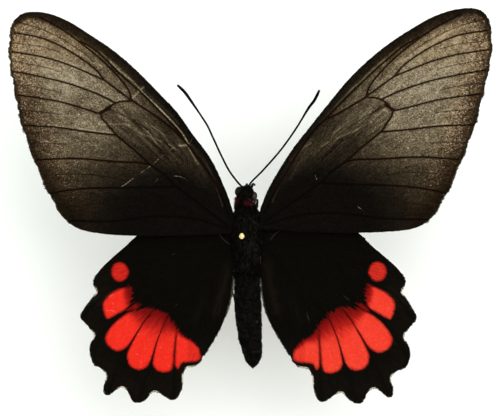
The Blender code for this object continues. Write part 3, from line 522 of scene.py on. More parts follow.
# Length of the hair along Y on the hindwing's edge beside the body, and of the fringe elsewhere
BODY_EDGE_HAIR = ((-20.0, -13.0, -8.5, -7.0), (0.25, 0.28, 0.32, 0.9))
FRINGE_LENGTH = 0.20

# Patterns of each wing's material: length along the rays, scale, detail and roughness
FORE_PATTERNS = {
    "streaks": (0.10, 2.8, 3.0, 0.6),
    "wrinkles": (0.06, 2.3, 2.0, 0.5),
    "crackle": (0.38, 4.4, 3.0, 0.75),
    "crumbs": (0.5, 6.0, 2.0, 0.65),
    "grain": (1.0, 4.0, 2.0, 0.7),
    "mottle": (1.0, 1.1, 2.0, 0.6),
    "clouds": (1.0, 0.30, 2.0, 0.5),
}
HIND_PATTERNS = {
    "grain": (1.0, 5.0, 2.0, 0.6),
    "mottle": (1.0, 1.2, 2.0, 0.6),
    "streaks": (0.12, 3.2, 2.0, 0.6),
    "spikes": (0.12, 3.4, 1.0, 0.5),
    "sparkle": (1.0, 2.6, 0.0, 0.4),
}

# The brightness that counts as 1
PALE_RANGE = 160.0

# Scales of each face: spacing across and along, and their usual length and width
SCALES = ((1, "above", (0.15, 0.19, 0.32, 0.19)), (-1, "below", (0.20, 0.25, 0.42, 0.25)))

# Size of the cells in which distances are worked out, and points handled at a time
CELL = 2.0
BATCH = 4000

# Hair: count, rear and front end along Y, length, width, lift, left and right end along X
HAIR_REGIONS = {
    "head_hair": (11000, 6.9, 20.0, 0.48, 0.07, 0.70, -9.0, 9.0),
    "cheek_hair": (7000, 5.6, 9.0, 0.90, 0.06, 1.15, -9.0, 9.0),
    "collar_hair": (5500, 6.2, 9.6, 0.85, 0.08, 1.35, -9.0, -1.1),
    "ruff_hair": (4500, 6.1, 8.0, 1.25, 0.08, 1.7, 0.1, 9.0),
    "neck_hair": (9000, 4.4, 8.4, 0.70, 0.06, 0.85, -9.0, 9.0),
    "thorax_hair": (32000, -4.6, 6.2, 0.95, 0.07, 0.42, -9.0, 9.0),
    "waist_hair": (12000, -7.6, -3.2, 1.05, 0.08, 0.95, -9.0, 9.0),
    "abdomen_hair": (42000, -30.0, -4.2, 0.40, 0.08, 0.32, -9.0, 9.0),
}

# How far a hair's tip bends towards the body, as a share of its length
HAIR_DROOP = 0.25

# Crimson tufts: centre, size and lowest height. Brown spots: centre and size. Brown lines as above
CRIMSON_TUFTS = (((-2.05, 7.7), (0.50, 0.85), 26.8), ((0.22, 7.42), (0.58, 0.27), 28.6))
ABDOMEN_SPOTS = ((2.05, -16.8, 0.17), (2.0, -19.2, 0.09))
BROWN_STREAKS = (
    (((1.7, 0.2), (1.5, -2.6), (1.2, -4.6)), 0.50, 0.03),
    (((0.9, -22.9), (2.9, -22.7)), 0.12, 0.30),
)

# Spacing, sides and depth inside the solids of the body's skin
SKIN_STEP = 0.12
SKIN_SIDES = 72
SKIN_INSET = 0.12

# A scale's corner on the flat layout lies this far from its root's place
PATCH = 0.0015

# The ridges of the veins are lower beneath, and scales stand this far off the membrane
RIDGE_BELOW = 0.7
SCALE_GAP = 0.006

# Length on the ray map of one radian
RAY_SPREAD = 22.0

# The light that a level surface gets, which the colours allow for
LIGHT_LEVEL = 1.46


# Curves and distances


def smooth_curve(points, step):
    """Points about a step apart on a Catmull-Rom curve through the given ones, both ends kept."""
    given = [np.array(point, float) for point in points]
    padded = [2 * given[0] - given[1], *given, 2 * given[-1] - given[-2]]
    curve = []
    for before, start, end, after in zip(padded, padded[1:], padded[2:], padded[3:]):
        count = max(1, round(float(np.linalg.norm(end - start)) / step))
        for index in range(count):
            t = index / count
            curve.append(
                0.5
                * (
                    2 * start
                    + (end - before) * t
                    + (2 * before - 5 * start + 4 * end - after) * t**2
                    + (3 * start - before - 3 * end + after) * t**3
                )
            )
    curve.append(given[-1])
    return np.array(curve)


def closed_curve(points, step):
    """A smooth closed curve through the points, its first point not repeated at the end."""
    count = len(points)
    wrapped = [points[index % count] for index in range(-2, count + 3)]
    curve = smooth_curve(wrapped, step)
    half = len(curve) // 2
    start, left = (np.linalg.norm(run[:half] - points[0], axis=1).argmin() for run in (curve, curve[::-1]))
    return curve[start : len(curve) - 1 - left]


def unit(vectors):
    """The vectors, one a row, brought to length 1."""
    return vectors / np.maximum(np.linalg.norm(vectors, axis=1)[:, None], 1e-9)


def way_along(path):
    """How far along a path each of its points is."""
    return np.concatenate([[0.0], np.cumsum(np.linalg.norm(np.diff(path, axis=0), axis=1))])


def turned(x, y, angle):
    """A point, or points, turned round the origin."""
    return x * math.cos(angle) - y * math.sin(angle), x * math.sin(angle) + y * math.cos(angle)


def straight_parts(lines):
    """Starts and ways of all straight parts of the lines."""
    starts = np.concatenate([line[:-1] for line in lines])
    return starts, np.concatenate([line[1:] for line in lines]) - starts


def distances(points, starts, along):
    """Distance from every point to every straight part, and the way to the point from the part's start."""
    away = points[:, None, :] - starts[None, :, :]
    squares = np.maximum((along**2).sum(1), 1e-12)
    t = np.clip((away * along).sum(2) / squares, 0.0, 1.0)
    return np.sqrt(((away - t[:, :, None] * along) ** 2).sum(2)), away


def distance_to(points, lines):
    """Distance from each point to the nearest of the lines, worked out cell by cell."""
    starts, along = straight_parts(lines)
    found = np.empty(len(points))
    cells, which = np.unique(np.floor(points / CELL), axis=0, return_inverse=True)
    order = np.argsort(which.ravel(), kind="stable")
    ends = np.cumsum(np.bincount(which.ravel()))
    first = 0
    for cell, last in zip(cells, ends):
        chosen = order[first:last]
        first = last
        middle = (cell + 0.5) * CELL
        near = np.arange(len(starts))
        for some, reach in ((middle[None], 1.5 * CELL), (points[chosen], None)):
            distance, _ = distances(some, starts[near], along[near])
            if reach:
                near = near[distance[0] <= distance[0].min() + reach]
        found[chosen] = distance.min(1)
    return found


def side_of(points, lines):
    """Signed distance from each point to the nearest line: above zero on its left, below on its right."""
    starts, along = straight_parts(lines)
    found = np.full(len(points), 9.0)
    close = np.flatnonzero(distance_to(points, lines) < 0.6)
    for first in range(0, len(close), BATCH):
        chosen = close[first : first + BATCH]
        distance, away = distances(points[chosen], starts, along)
        nearest = distance.argmin(1)
        rows = np.arange(len(chosen))
        turn = along[nearest, 0] * away[rows, nearest, 1] - along[nearest, 1] * away[rows, nearest, 0]
        found[chosen] = distance[rows, nearest] * np.where(turn < 0, -1.0, 1.0)
    return found


def closed(outline):
    """An outline with its first point repeated at the end."""
    return np.vstack([outline, outline[:1]])


def inside(points, outline):
    """Which points lie inside a closed outline."""
    found = np.zeros(len(points), bool)
    x, y = points[:, 0], points[:, 1]
    for start, end in zip(outline, np.roll(outline, -1, axis=0)):
        if start[1] == end[1]:
            continue
        spans = (start[1] > y) != (end[1] > y)
        crossing = start[0] + (end[0] - start[0]) * (y - start[1]) / (end[1] - start[1])
        found ^= spans & (x < crossing)
    return found


def smooth_step(value, low, high):
    """0 below low, 1 above high and smooth between."""
    t = np.clip((value - low) / (high - low), 0.0, 1.0)
    return t * t * (3 - 2 * t)


# Meshes


def add_mesh(name, vertices, faces, values=None, vectors=None, maps=None, smooth=True):
    """A mesh object of triangles, with numbers and vectors stored on its points and maps on its corners."""
    vertices = np.asarray(vertices, float) * MM
    faces = np.asarray(faces, np.int32)
    mesh = bpy.data.meshes.new(name)
    mesh.vertices.add(len(vertices))
    mesh.vertices.foreach_set("co", vertices.astype(np.float32).ravel())
    mesh.loops.add(faces.size)
    mesh.loops.foreach_set("vertex_index", faces.ravel())
    mesh.polygons.add(len(faces))
    mesh.polygons.foreach_set("loop_start", np.arange(0, faces.size, 3, dtype=np.int32))
    mesh.update(calc_edges=True)
    for key, data in (values or {}).items():
        attribute = mesh.attributes.new(key, "FLOAT", "POINT")
        attribute.data.foreach_set("value", np.asarray(data, np.float32))
    for key, data in (vectors or {}).items():
        attribute = mesh.attributes.new(key, "FLOAT_VECTOR", "POINT")
        attribute.data.foreach_set("vector", np.asarray(data, np.float32).ravel())
    for key, data in (maps or {}).items():
        layer = mesh.uv_layers.new(name=key)
        layer.data.foreach_set("uv", np.asarray(data, np.float32)[faces.ravel()].ravel())
    if smooth:
        mesh.polygons.foreach_set("use_smooth", np.ones(len(faces), bool))
    made = bpy.data.objects.new(name, mesh)
    bpy.context.scene.collection.objects.link(made)
    return made


def ring_faces(rings, sides):
    """Triangles of a tube through rings of equal count, its ends closed by a fan."""
    ring, side = np.meshgrid(np.arange(rings - 1), np.arange(sides), indexing="ij")
    here = (ring * sides + side).ravel()
    beside = (ring * sides + (side + 1) % sides).ravel()
    fan = np.arange(1, sides - 1)
    last = (rings - 1) * sides
    parts = (
        (here, beside, beside + sides),
        (here, beside + sides, here + sides),
        (np.zeros_like(fan), fan + 1, fan),
        (np.full_like(fan, last), last + fan, last + fan + 1),
    )
    return np.concatenate([np.stack(part, 1) for part in parts])


def tube_points(path, radii, sides):
    """Points of a tube along a path, its rings carried along without twist."""
    path = [Vector(point) for point in path]
    heading = (path[1] - path[0]).normalized()
    across = heading.orthogonal().normalized()
    angles = np.arange(sides) * 2 * math.pi / sides
    points = []
    for index, centre in enumerate(path):
        before = path[max(index - 1, 0)]
        after = path[min(index + 1, len(path) - 1)]
        new_heading = (after - before).normalized()
        across = (heading.rotation_difference(new_heading) @ across).normalized()
        heading = new_heading
        beside = heading.cross(across)
        ring = np.outer(np.cos(angles), across) + np.outer(np.sin(angles), beside)
        points.append(np.array(centre) + radii[index] * ring)
    return np.concatenate(points)


def add_tube(name, path, radii, sides):
    """A closed tube whose radius changes along its path."""
    return add_mesh(name, tube_points(path, radii, sides), ring_faces(len(path), sides))


def dressed(piece, skin):
    """The piece, with its material."""
    piece.data.materials.append(skin)
    return piece


def joined(name, pieces):
    """One object out of several, keeping their materials and values."""
    first = pieces[0]
    with bpy.context.temp_override(
        active_object=first, object=first, selected_objects=pieces, selected_editable_objects=pieces
    ):
        bpy.ops.object.join()
    first.name = name
    first.data.name = name
    return first


# Materials


def new_material(name):
    """An empty node material with its Principled shader."""
    made = bpy.data.materials.new(name)
    made.use_nodes = True
    return made, made.node_tree, made.node_tree.nodes["Principled BSDF"]


def put_into(tree, socket, value):
    """Sets or links one socket."""
    if isinstance(value, bpy.types.NodeSocket):
        tree.links.new(value, socket)
    else:
        socket.default_value = value


def put(tree, kind, settings=None, **inputs):
    """A node with its settings, and with inputs that are numbers, colours or other nodes' outputs."""
    node = tree.nodes.new(kind)
    for key, value in (settings or {}).items():
        setattr(node, key, value)
    for key, value in inputs.items():
        put_into(tree, node.inputs[int(key[2:]) if key[2:].isdigit() else key], value)
    return node


def value_of(tree, name):
    """A number stored on the mesh."""
    return put(tree, "ShaderNodeAttribute", {"attribute_name": name}).outputs["Fac"]


def vector_of(tree, name):
    """A vector stored on the mesh."""
    return put(tree, "ShaderNodeAttribute", {"attribute_name": name}).outputs["Vector"]


def maths(tree, operation, first, second=0.0, third=0.0):
    """A sum, product or other function of numbers."""
    return put(tree, "ShaderNodeMath", {"operation": operation}, in0=first, in1=second, in2=third).outputs[0]


def times(tree, first, second):
    """The product of two numbers."""
    return maths(tree, "MULTIPLY", first, second)


def stepped(tree, value, low, high, start=0.0, end=1.0):
    """A smooth step of a number from low to high, mapped to start and end."""
    node = put(tree, "ShaderNodeMapRange", {"interpolation_type": "SMOOTHSTEP"}, in0=value)
    for index, number in enumerate((low, high, start, end), 1):
        node.inputs[index].default_value = number
    return node.outputs[0]


def mixed(tree, factor, first, second, blend="MIX"):
    """Two colours blended, or joined in another named way."""
    node = put(tree, "ShaderNodeMix", {"data_type": "RGBA", "blend_type": blend})
    put_into(tree, node.inputs["Factor"], factor)
    colours = [socket for socket in node.inputs if socket.type == "RGBA"]
    put_into(tree, colours[0], first)
    put_into(tree, colours[1], second)
    return [socket for socket in node.outputs if socket.type == "RGBA"][0]


def noise(tree, vector, scale, detail=2.0, roughness=0.5):
    """Noise from 0 to 1 at a scale over a vector."""
    given = {"Vector": vector, "Scale": scale, "Detail": detail, "Roughness": roughness}
    return put(tree, "ShaderNodeTexNoise", None, **given).outputs["Fac"]


def stretched(tree, vector, x, y, z):
    """A vector with each part multiplied."""
    node = put(tree, "ShaderNodeVectorMath", {"operation": "MULTIPLY"}, in0=vector)
    node.inputs[1].default_value = (x, y, z)
    return node.outputs[0]


def patterns_of(tree, flow, table):
    """Noise patterns in the order of a table."""
    return [noise(tree, stretched(tree, flow, 1.0, length, 1.0), *rest) for length, *rest in table.values()]


def bumped(tree, shader, height, strength, distance):
    """Relief from a height, in metres of distance."""
    node = put(tree, "ShaderNodeBump", None, Strength=strength, Distance=distance, Height=height)
    tree.links.new(node.outputs[0], shader.inputs["Normal"])


def surfaced(tree, shader, skin, roughness, specular):
    """Sets the shader's colour, roughness and gloss."""
    for name, value in (("Base Color", skin), ("Roughness", roughness), ("Specular IOR Level", specular)):
        put_into(tree, shader.inputs[name], value)


def colour(red, green, blue):
    """An sRGB colour of 0 to 255, as the photo shows it, as linear values under the scene's light."""
    parts = [part / 255 for part in (red, green, blue)]
    linear = [part / 12.92 if part <= 0.04045 else ((part + 0.055) / 1.055) ** 2.4 for part in parts]
    return (*(part / LIGHT_LEVEL for part in linear), 1.0)


def ramp(tree, factor, stops):
    """A colour that runs through stops of (place, colour)."""
    node = put(tree, "ShaderNodeValToRGB", None, Fac=factor)
    elements = node.color_ramp.elements
    while len(elements) < len(stops):
        elements.new(0.5)
    for element, (place, tint) in zip(elements, stops):
        element.position = place
        element.color = tint
    return node.outputs["Color"]


def swung(tree, total, value, amount):
    """A number swung up and down by how far a value is from one half."""
    return maths(tree, "MULTIPLY_ADD", maths(tree, "SUBTRACT", value, 0.5), amount, total)


def forewing_material():
    """Thin scales: black at the base and costa, grey-brown and part bare towards the tip."""
    made, tree, shader = new_material("forewing_scales")
    flow = vector_of(tree, "flow")
    shade = value_of(tree, "shade")
    outer = value_of(tree, "outer")
    streaks, wrinkles, crackle, crumbs, grain, mottle, clouds = patterns_of(tree, flow, FORE_PATTERNS)
    swing = 1.0
    for pattern, amount in ((streaks, 0.8), (grain, 1.05), (mottle, 0.55), (clouds, 0.45), (shade, 1.15)):
        swing = swung(tree, swing, pattern, amount)
    # Painted light and shade of the cell's wrinkles: pale and dark streaks along the rays where the wrinkle
    # mask lies
    wrinkle_light_and_shade = times(tree, value_of(tree, "wrinkle"), swung(tree, 0.0, wrinkles, 6.5))
    swing = maths(tree, "ADD", swing, wrinkle_light_and_shade)
    swing = maths(tree, "ADD", swing, times(tree, outer, swung(tree, -0.09, crackle, 1.5)))
    pale = times(tree, value_of(tree, "pale"), swing)
    # Painted highlights along veins and wrinkles, and paler scale tone, broken up by the grain
    gleam = times(tree, value_of(tree, "gleam"), swung(tree, 0.9, grain, 2.4))
    pale = maths(tree, "ADD", pale, gleam)
    skin = ramp(
        tree,
        pale,
        (
            (0.0, colour(4, 3, 2)),
            (0.08, colour(13, 10, 7)),
            (0.20, colour(35, 28, 20)),
            (0.35, colour(62, 52, 38)),
            (0.50, colour(88, 76, 57)),
            (0.70, colour(123, 109, 86)),
            (0.85, colour(148, 134, 109)),
            (1.0, colour(182, 168, 142)),
        ),
    )
    warmth = mixed(tree, value_of(tree, "warm"), (1, 1, 1, 1), (1.11, 0.92, 0.72, 1))
    skin = mixed(tree, 1.0, skin, warmth, "MULTIPLY")
    gaps = times(tree, stepped(tree, crackle, 0.32, 0.46, 0.5, 0.0), outer)
    skin = mixed(tree, gaps, skin, colour(70, 41, 25))
    crumb = times(tree, stepped(tree, crumbs, 0.57, 0.64, 0.0, 0.85), outer)
    skin = mixed(tree, times(tree, crumb, stepped(tree, pale, 0.25, 0.6)), skin, colour(232, 200, 172))
    bare = maths(tree, "MAXIMUM", maths(tree, "MULTIPLY_ADD", pale, 1.15, -0.10), 0.0)
    sparkle = times(tree, value_of(tree, "spark"), bare)
    skin = mixed(tree, sparkle, skin, colour(238, 214, 182))
    fold = swung(tree, value_of(tree, "fold"), mottle, 0.10)
    skin = mixed(tree, stepped(tree, fold, 0.05, 0.19, 0.62, 0.0), skin, colour(26, 17, 10))
    worn = stepped(tree, maths(tree, "ADD", grain, times(tree, mottle, 0.5)), 0.68, 0.86, 0.0, 1.0)
    rub = stepped(tree, maths(tree, "ABSOLUTE", value_of(tree, "rub")), 0.02, 0.085, 0.62, 0.0)
    rub = times(tree, times(tree, rub, value_of(tree, "rubbed")), worn)
    skin = mixed(tree, rub, skin, colour(205, 184, 148))
    vein = swung(tree, value_of(tree, "vein"), grain, 0.06)
    halo = times(tree, stepped(tree, vein, 0.17, 0.42, 0.30, 0.0), stepped(tree, pale, 0.12, 0.35))
    skin = mixed(tree, halo, skin, colour(54, 29, 12))
    line = mixed(tree, stepped(tree, pale, 0.10, 0.40), colour(8, 6, 4), colour(27, 13, 4))
    skin = mixed(tree, stepped(tree, vein, 0.12, 0.25, 0.95, 0.0), skin, line)
    skin = mixed(tree, value_of(tree, "cream"), skin, colour(222, 204, 168))
    surfaced(tree, shader, skin, 0.5, 0.01)
    bumped(tree, shader, grain, 0.3, 0.00003)
    return made


def hindwing_material():
    """Velvet black scales with red patches, duller and hair-fine where they end towards the body."""
    made, tree, shader = new_material("hindwing_scales")
    flow = vector_of(tree, "flow")
    shade = value_of(tree, "shade")
    grain, mottle, streaks, spikes, sparkle = patterns_of(tree, flow, HIND_PATTERNS)
    pale = swung(tree, value_of(tree, "pale"), shade, 0.10)
    pale = swung(tree, pale, streaks, 0.14)
    # Painted sheen on the black, from the sheen lines
    pale = maths(tree, "ADD", pale, times(tree, value_of(tree, "gleam"), swung(tree, 1.0, streaks, 2.0)))
    black = ramp(
        tree,
        pale,
        (
            (0.0, colour(4, 4, 2)),
            (0.10, colour(13, 11, 7)),
            (0.25, colour(30, 23, 17)),
            (0.5, colour(56, 44, 34)),
        ),
    )
    reach = value_of(tree, "red")
    inner = swung(tree, value_of(tree, "inner"), streaks, 0.75)
    edge = stepped(tree, value_of(tree, "inner"), 0.0, 0.9, 2.2, 0.30)
    ragged = times(tree, maths(tree, "SUBTRACT", spikes, 0.57), edge)
    reach = maths(tree, "ADD", reach, ragged)
    reach = swung(tree, reach, grain, 0.20)
    reach = swung(tree, reach, shade, 0.10)
    tone = stepped(tree, swung(tree, swung(tree, shade, grain, 0.9), mottle, 1.0), 0.1, 1.0)
    left = value_of(tree, "left")
    deep = mixed(tree, left, colour(255, 57, 41), colour(255, 41, 30))
    fiery = mixed(tree, left, colour(255, 80, 59), colour(255, 60, 43))
    bright = mixed(tree, tone, deep, fiery)
    dull = ramp(
        tree,
        swung(tree, inner, shade, 0.16),
        (
            (0.0, colour(100, 12, 11)),
            (0.35, colour(136, 18, 16)),
            (0.75, colour(186, 31, 25)),
            (1.0, colour(214, 42, 33)),
        ),
    )
    red = mixed(tree, stepped(tree, inner, 0.6, 1.4), dull, bright)
    red = mixed(tree, stepped(tree, reach, 0.05, 0.60, 0.60, 0.0), red, colour(120, 16, 14))
    glints = times(tree, stepped(tree, sparkle, 0.70, 0.80, 0.0, 0.5), stepped(tree, inner, 0.9, 1.3))
    red = mixed(tree, glints, red, colour(255, 122, 96))
    skin = mixed(tree, stepped(tree, reach, -0.18, 0.26), black, red)
    vein = value_of(tree, "vein")
    vein_tint = mixed(tree, value_of(tree, "soft"), colour(44, 9, 7), colour(126, 18, 13))
    vein_tint = mixed(tree, stepped(tree, reach, -0.2, 0.1), colour(13, 11, 7), vein_tint)
    skin = mixed(tree, stepped(tree, vein, 0.06, 0.38, 0.92, 0.0), skin, vein_tint)
    # Rubbed lines, and painted shine along the vein bases: pale brown on the black, pink on the red
    rub = stepped(tree, maths(tree, "ABSOLUTE", value_of(tree, "rub")), 0.03, 0.11, 0.6, 0.0)
    rub = times(tree, rub, value_of(tree, "rubbed"))
    rub = times(tree, rub, stepped(tree, grain, 0.42, 0.56))
    rubbed = mixed(tree, stepped(tree, reach, -0.1, 0.1), colour(92, 82, 70), colour(255, 150, 120))
    skin = mixed(tree, rub, skin, rubbed)
    skin = mixed(tree, value_of(tree, "cream"), skin, colour(236, 226, 200))
    surfaced(tree, shader, skin, 0.65, 0.01)
    bumped(tree, shader, grain, 0.3, 0.00003)
    return made


def plain_material(
    name, dark, light, scale, roughness, specular, relief=0.00003, metallic=0.0, stretch=(1, 1, 1)
):
    """A mottled surface between two colours, with a fine relief."""
    made, tree, shader = new_material(name)
    where = stretched(tree, put(tree, "ShaderNodeTexCoord").outputs["Object"], *stretch)
    mottle = noise(tree, where, scale, 3.0, 0.6)
    surfaced(tree, shader, mixed(tree, stepped(tree, mottle, 0.3, 0.7), dark, light), roughness, specular)
    shader.inputs["Metallic"].default_value = metallic
    bumped(tree, shader, noise(tree, where, scale * 3, 2.0, 0.5), 0.4, relief)
    return made


def hair_material():
    """Hair and hair scales: black-brown, with crimson, brown or grey ones where their values say so."""
    made, tree, shader = new_material("body_hair")
    flow = put(tree, "ShaderNodeTexCoord").outputs["Object"]
    mottle = noise(tree, flow, 900.0, 2.0, 0.6)
    black = mixed(tree, value_of(tree, "shade"), colour(3, 3, 2), colour(52, 49, 42))
    skin = mixed(tree, value_of(tree, "brown"), black, colour(92, 66, 52))
    crimson = mixed(tree, stepped(tree, mottle, 0.35, 0.65), colour(112, 18, 32), colour(186, 56, 78))
    skin = mixed(tree, value_of(tree, "tint"), skin, crimson)
    surfaced(tree, shader, skin, 0.6, 0.01)
    return made


def eye_material():
    """A dried compound eye: grey-brown facets, the right eye painted paler and the left darker, as painted
    light from the right.
    """
    made, tree, shader = new_material("eye_facets")
    where = put(tree, "ShaderNodeTexCoord").outputs["Object"]
    facets = put(tree, "ShaderNodeTexVoronoi", None, Vector=where, Scale=12000.0)
    mottle = noise(tree, where, 1400.0, 2.0, 0.5)
    # Painted light: 1 on the right eye, which is painted paler, 0 on the left, painted darker
    light = value_of(tree, "light")
    dark_side = mixed(tree, light, colour(24, 15, 10), colour(40, 36, 30))
    pale_side = mixed(tree, light, colour(50, 36, 26), colour(86, 82, 74))
    skin = mixed(tree, stepped(tree, mottle, 0.35, 0.7), dark_side, pale_side)
    skin = mixed(tree, stepped(tree, facets.outputs["Distance"], 0.3, 0.6, 0.0, 0.5), skin, colour(14, 11, 8))
    surfaced(tree, shader, skin, 0.4, 0.03)
    bumped(tree, shader, facets.outputs["Distance"], 0.4, 0.00002)
    return made


# Wings


def fore_outline(step):
    """The right forewing's outline, from the root forward and round clockwise."""
    outline = list(smooth_curve([FORE_ROOT[0], *FORE_COSTA, FORE_MARGIN_ENDS[0]], step))
    for start, end in zip(FORE_MARGIN_ENDS, FORE_MARGIN_ENDS[1:]):
        start = np.array(start)
        along = np.array(end) - start
        length = float(np.linalg.norm(along))
        inward = np.array([along[1], -along[0]]) / length
        count = max(2, round(length / step))
        for index in range(1, count + 1):
            t = index / count
            outline.append(start + along * t + inward * FORE_SCALLOP * math.sin(math.pi * t))
    outline += list(smooth_curve([FORE_MARGIN_ENDS[-1], *FORE_HIND_EDGE, FORE_ROOT[1]], step))[1:]
    return np.array(outline)


def hind_outline(step):
    """The right hindwing's outline, from the root's front corner round clockwise."""
    points = [HIND_ROOT[1], *HIND_COSTA, *HIND_MARGIN, *HIND_INNER_EDGE, HIND_ROOT[0]]
    return smooth_curve(points, step)


def placed(points, side, place, bends):
    """Points of a right wing carried to their side, with that wing's own scale, turn, shift and bends."""
    points = np.array(points, float)
    if side > 0:
        return points
    scale, turn, shift = place
    x, y = turned(-points[:, 0] * scale, points[:, 1] * scale, math.radians(turn))
    moved = np.stack([x + shift[0], y + shift[1]], 1)
    pulled = moved.copy()
    for at, pull, reach in bends:
        near = np.exp(-(((moved - at) ** 2).sum(1)) / reach**2)
        pulled += near[:, None] * np.array(pull)
    return pulled


def carrier(side, place, bends):
    """A function that carries a right wing's line to a side's wing, smoothed where a step is given."""

    def carried(line, step=None):
        return placed(smooth_curve(line, step) if step else line, side, place, bends)

    return carried


def wing_height(points, root_z, rise):
    """Height of a wing's middle surface: a slight rise to the edge and a low swell across it."""
    out = np.minimum(np.abs(points[:, 0]) / HALF_SPAN, 1.0)
    return root_z + rise * out**2 + CAMBER * np.sin(math.pi * out)


def net_of(outline, across, along, turn=0.0):
    """A staggered net of points inside an outline, turned by an angle."""
    cosine, sine = math.cos(turn), math.sin(turn)
    turned = np.array([[cosine, sine], [-sine, cosine]])
    frame = outline @ turned.T
    low = frame.min(0)
    high = frame.max(0)
    rows = []
    for index, y in enumerate(np.arange(low[1], high[1], along)):
        x = np.arange(low[0] + across / 2 * (index % 2), high[0], across)
        rows.append(np.stack([x, np.full_like(x, y)], 1))
    found = np.concatenate(rows) @ turned
    return found[inside(found, outline)]


def wing_faces(outline, veins, creases):
    """A flat triangle mesh of a wing, with edges along its creases and the veins' crests and feet."""
    count = len(outline)
    rim = [closed(outline)]
    points = [outline]
    edges = []
    total = count
    for line in veins + creases:
        line = line[inside(line, outline)]
        points.append(line)
        edges += [(total + n, total + n + 1) for n in range(len(line) - 1)]
        total += len(line)
    for line in veins:
        along = unit(np.gradient(line, axis=0))
        across = np.stack([along[:, 1], -along[:, 0]], 1) * VEIN_HALF_WIDTH
        for foot in (line + across, line - across):
            others = [other for other in veins + creases if other is not line]
            clear = distance_to(foot, others) > 0.6 * VEIN_HALF_WIDTH
            clear &= distance_to(foot, rim) > 0.1
            clear &= inside(foot, outline)
            points.append(foot[clear])
    net = net_of(outline, WING_STEP, WING_STEP * math.sqrt(3) / 2)
    net = net[distance_to(net, rim) > 0.5 * WING_STEP]
    net = net[distance_to(net, veins) > VEIN_HALF_WIDTH + 0.3 * WING_STEP]
    net = net[distance_to(net, creases) > 0.4 * WING_STEP]
    points.append(net)
    flat = [Vector(point) for point in np.concatenate(points)]
    result = delaunay_2d_cdt(flat, edges, [tuple(range(count))], 1, 1e-5)
    made = np.array([tuple(point) for point in result[0]])
    faces = np.array(result[2])
    a, b, c = (made[faces[:, corner]] for corner in range(3))
    turn = (b[:, 0] - a[:, 0]) * (c[:, 1] - a[:, 1]) - (b[:, 1] - a[:, 1]) * (c[:, 0] - a[:, 0])
    faces[turn < 0] = faces[turn < 0][:, ::-1]
    return made, faces[np.abs(turn) > 1e-9]


def rim_of(faces):
    """Edges of a triangle mesh that have a face on one side only."""
    edges = np.concatenate([faces[:, [0, 1]], faces[:, [1, 2]], faces[:, [2, 0]]])
    known = {(int(a), int(b)) for a, b in edges}
    return np.array([edge for edge in sorted(known) if (edge[1], edge[0]) not in known])


def flow_of(points, root):
    """For each point the way across and along the rays from the wing's root, and its side."""
    away = points - np.array(root)
    radius = np.linalg.norm(away, axis=1)
    angle = np.arctan2(away[:, 1], np.abs(away[:, 0]))
    return np.stack([angle * RAY_SPREAD, radius, np.sign(points[:, 0]) * 5.0], 1)


def signed_reach(points, outlines):
    """Depth inside the nearest outline, below zero outside all of them."""
    best = np.full(len(points), -99.0)
    for outline in outlines:
        near = np.abs(points - outline.mean(0)).max(1) < 9.0
        away = distance_to(points[near], [closed(outline)])
        best[near] = np.maximum(best[near], np.where(inside(points[near], outline), away, -away))
    return best


def glow_of(points, gleams):
    """How much paler each point is, from soft lines of (points, half width, strength)."""
    total = np.zeros(len(points))
    for line, half_width, strength in gleams:
        near = np.exp(-((distance_to(points, [line]) / half_width) ** 2))
        total = np.maximum(total, near * strength)
    return total


def forewing_lines(side):
    """The lines that a forewing's shape and marks are worked out from, on their side."""
    carried = carrier(side, LEFT_FORE_PLACE, LEFT_FORE_BENDS)
    veins = {name: carried(vein, VEIN_STEP) for name, vein in FORE_VEINS.items()}
    if side < 0:
        stem = [*carried(FORE_VEINS["radial_stem"][:2]), *LEFT_RADIAL_STEM]
        first = [*LEFT_RADIAL_1, *carried(FORE_VEINS["radial_1"][-2:])]
        veins["radial_stem"] = smooth_curve(stem, VEIN_STEP)
        veins["radial_1"] = smooth_curve(first, VEIN_STEP)
    rubs = SCRATCHES_LEFT if side < 0 else SCRATCHES_RIGHT
    # Lines of painted highlight along veins and wrinkles, and of paler scale tone
    gleams = [(carried(line, 0.6), width, power) for line, width, power in FORE_HIGHLIGHTS_AND_PALE_LINES]
    for line, width, power in HIGHLIGHTS_AND_PALE_LINES_LEFT if side < 0 else HIGHLIGHTS_AND_PALE_LINES_RIGHT:
        gleams.append((smooth_curve(line, 0.6), width, power))
    shades = SHADES_LEFT if side < 0 else SHADES_RIGHT
    return {
        "side": side,
        "root": np.array([3.7 * side, 4.4 if side > 0 else 3.5]),
        "outline": carried(fore_outline(WING_STEP)),
        "veins": list(veins.values()),
        "blot": [carried(FORE_BLOT, 0.4)],
        "cell": np.concatenate([veins["radial_stem"], veins["cell_end"], veins["cubital_stem"][::-1]]),
        "folds": [carried(fold, VEIN_STEP) for fold in FORE_FOLDS],
        "rubs": [smooth_curve(line, 0.4) for line in rubs],
        "gleams": gleams,
        "shades": [(smooth_curve(line, 1.0), width, power) for line, width, power in shades],
        "wrinkles": [(carried(WRINKLE_LINE, 1.0), 2.8, 0.42)],
        "costa": [carried([FORE_ROOT[0], *FORE_COSTA], 1.0)],
        "margin": [carried(np.array([FORE_COSTA[-1], *FORE_MARGIN_ENDS, FORE_HIND_EDGE[0]]))],
    }


def rub_marks(points, lines):
    """Signed distance from the rubbed lines, and how far each place counts as one."""
    signed = side_of(points, lines["rubs"])
    return {"rub": np.clip(signed, -1, 1), "rubbed": 1 - smooth_step(np.abs(signed), 0.25, 0.45)}


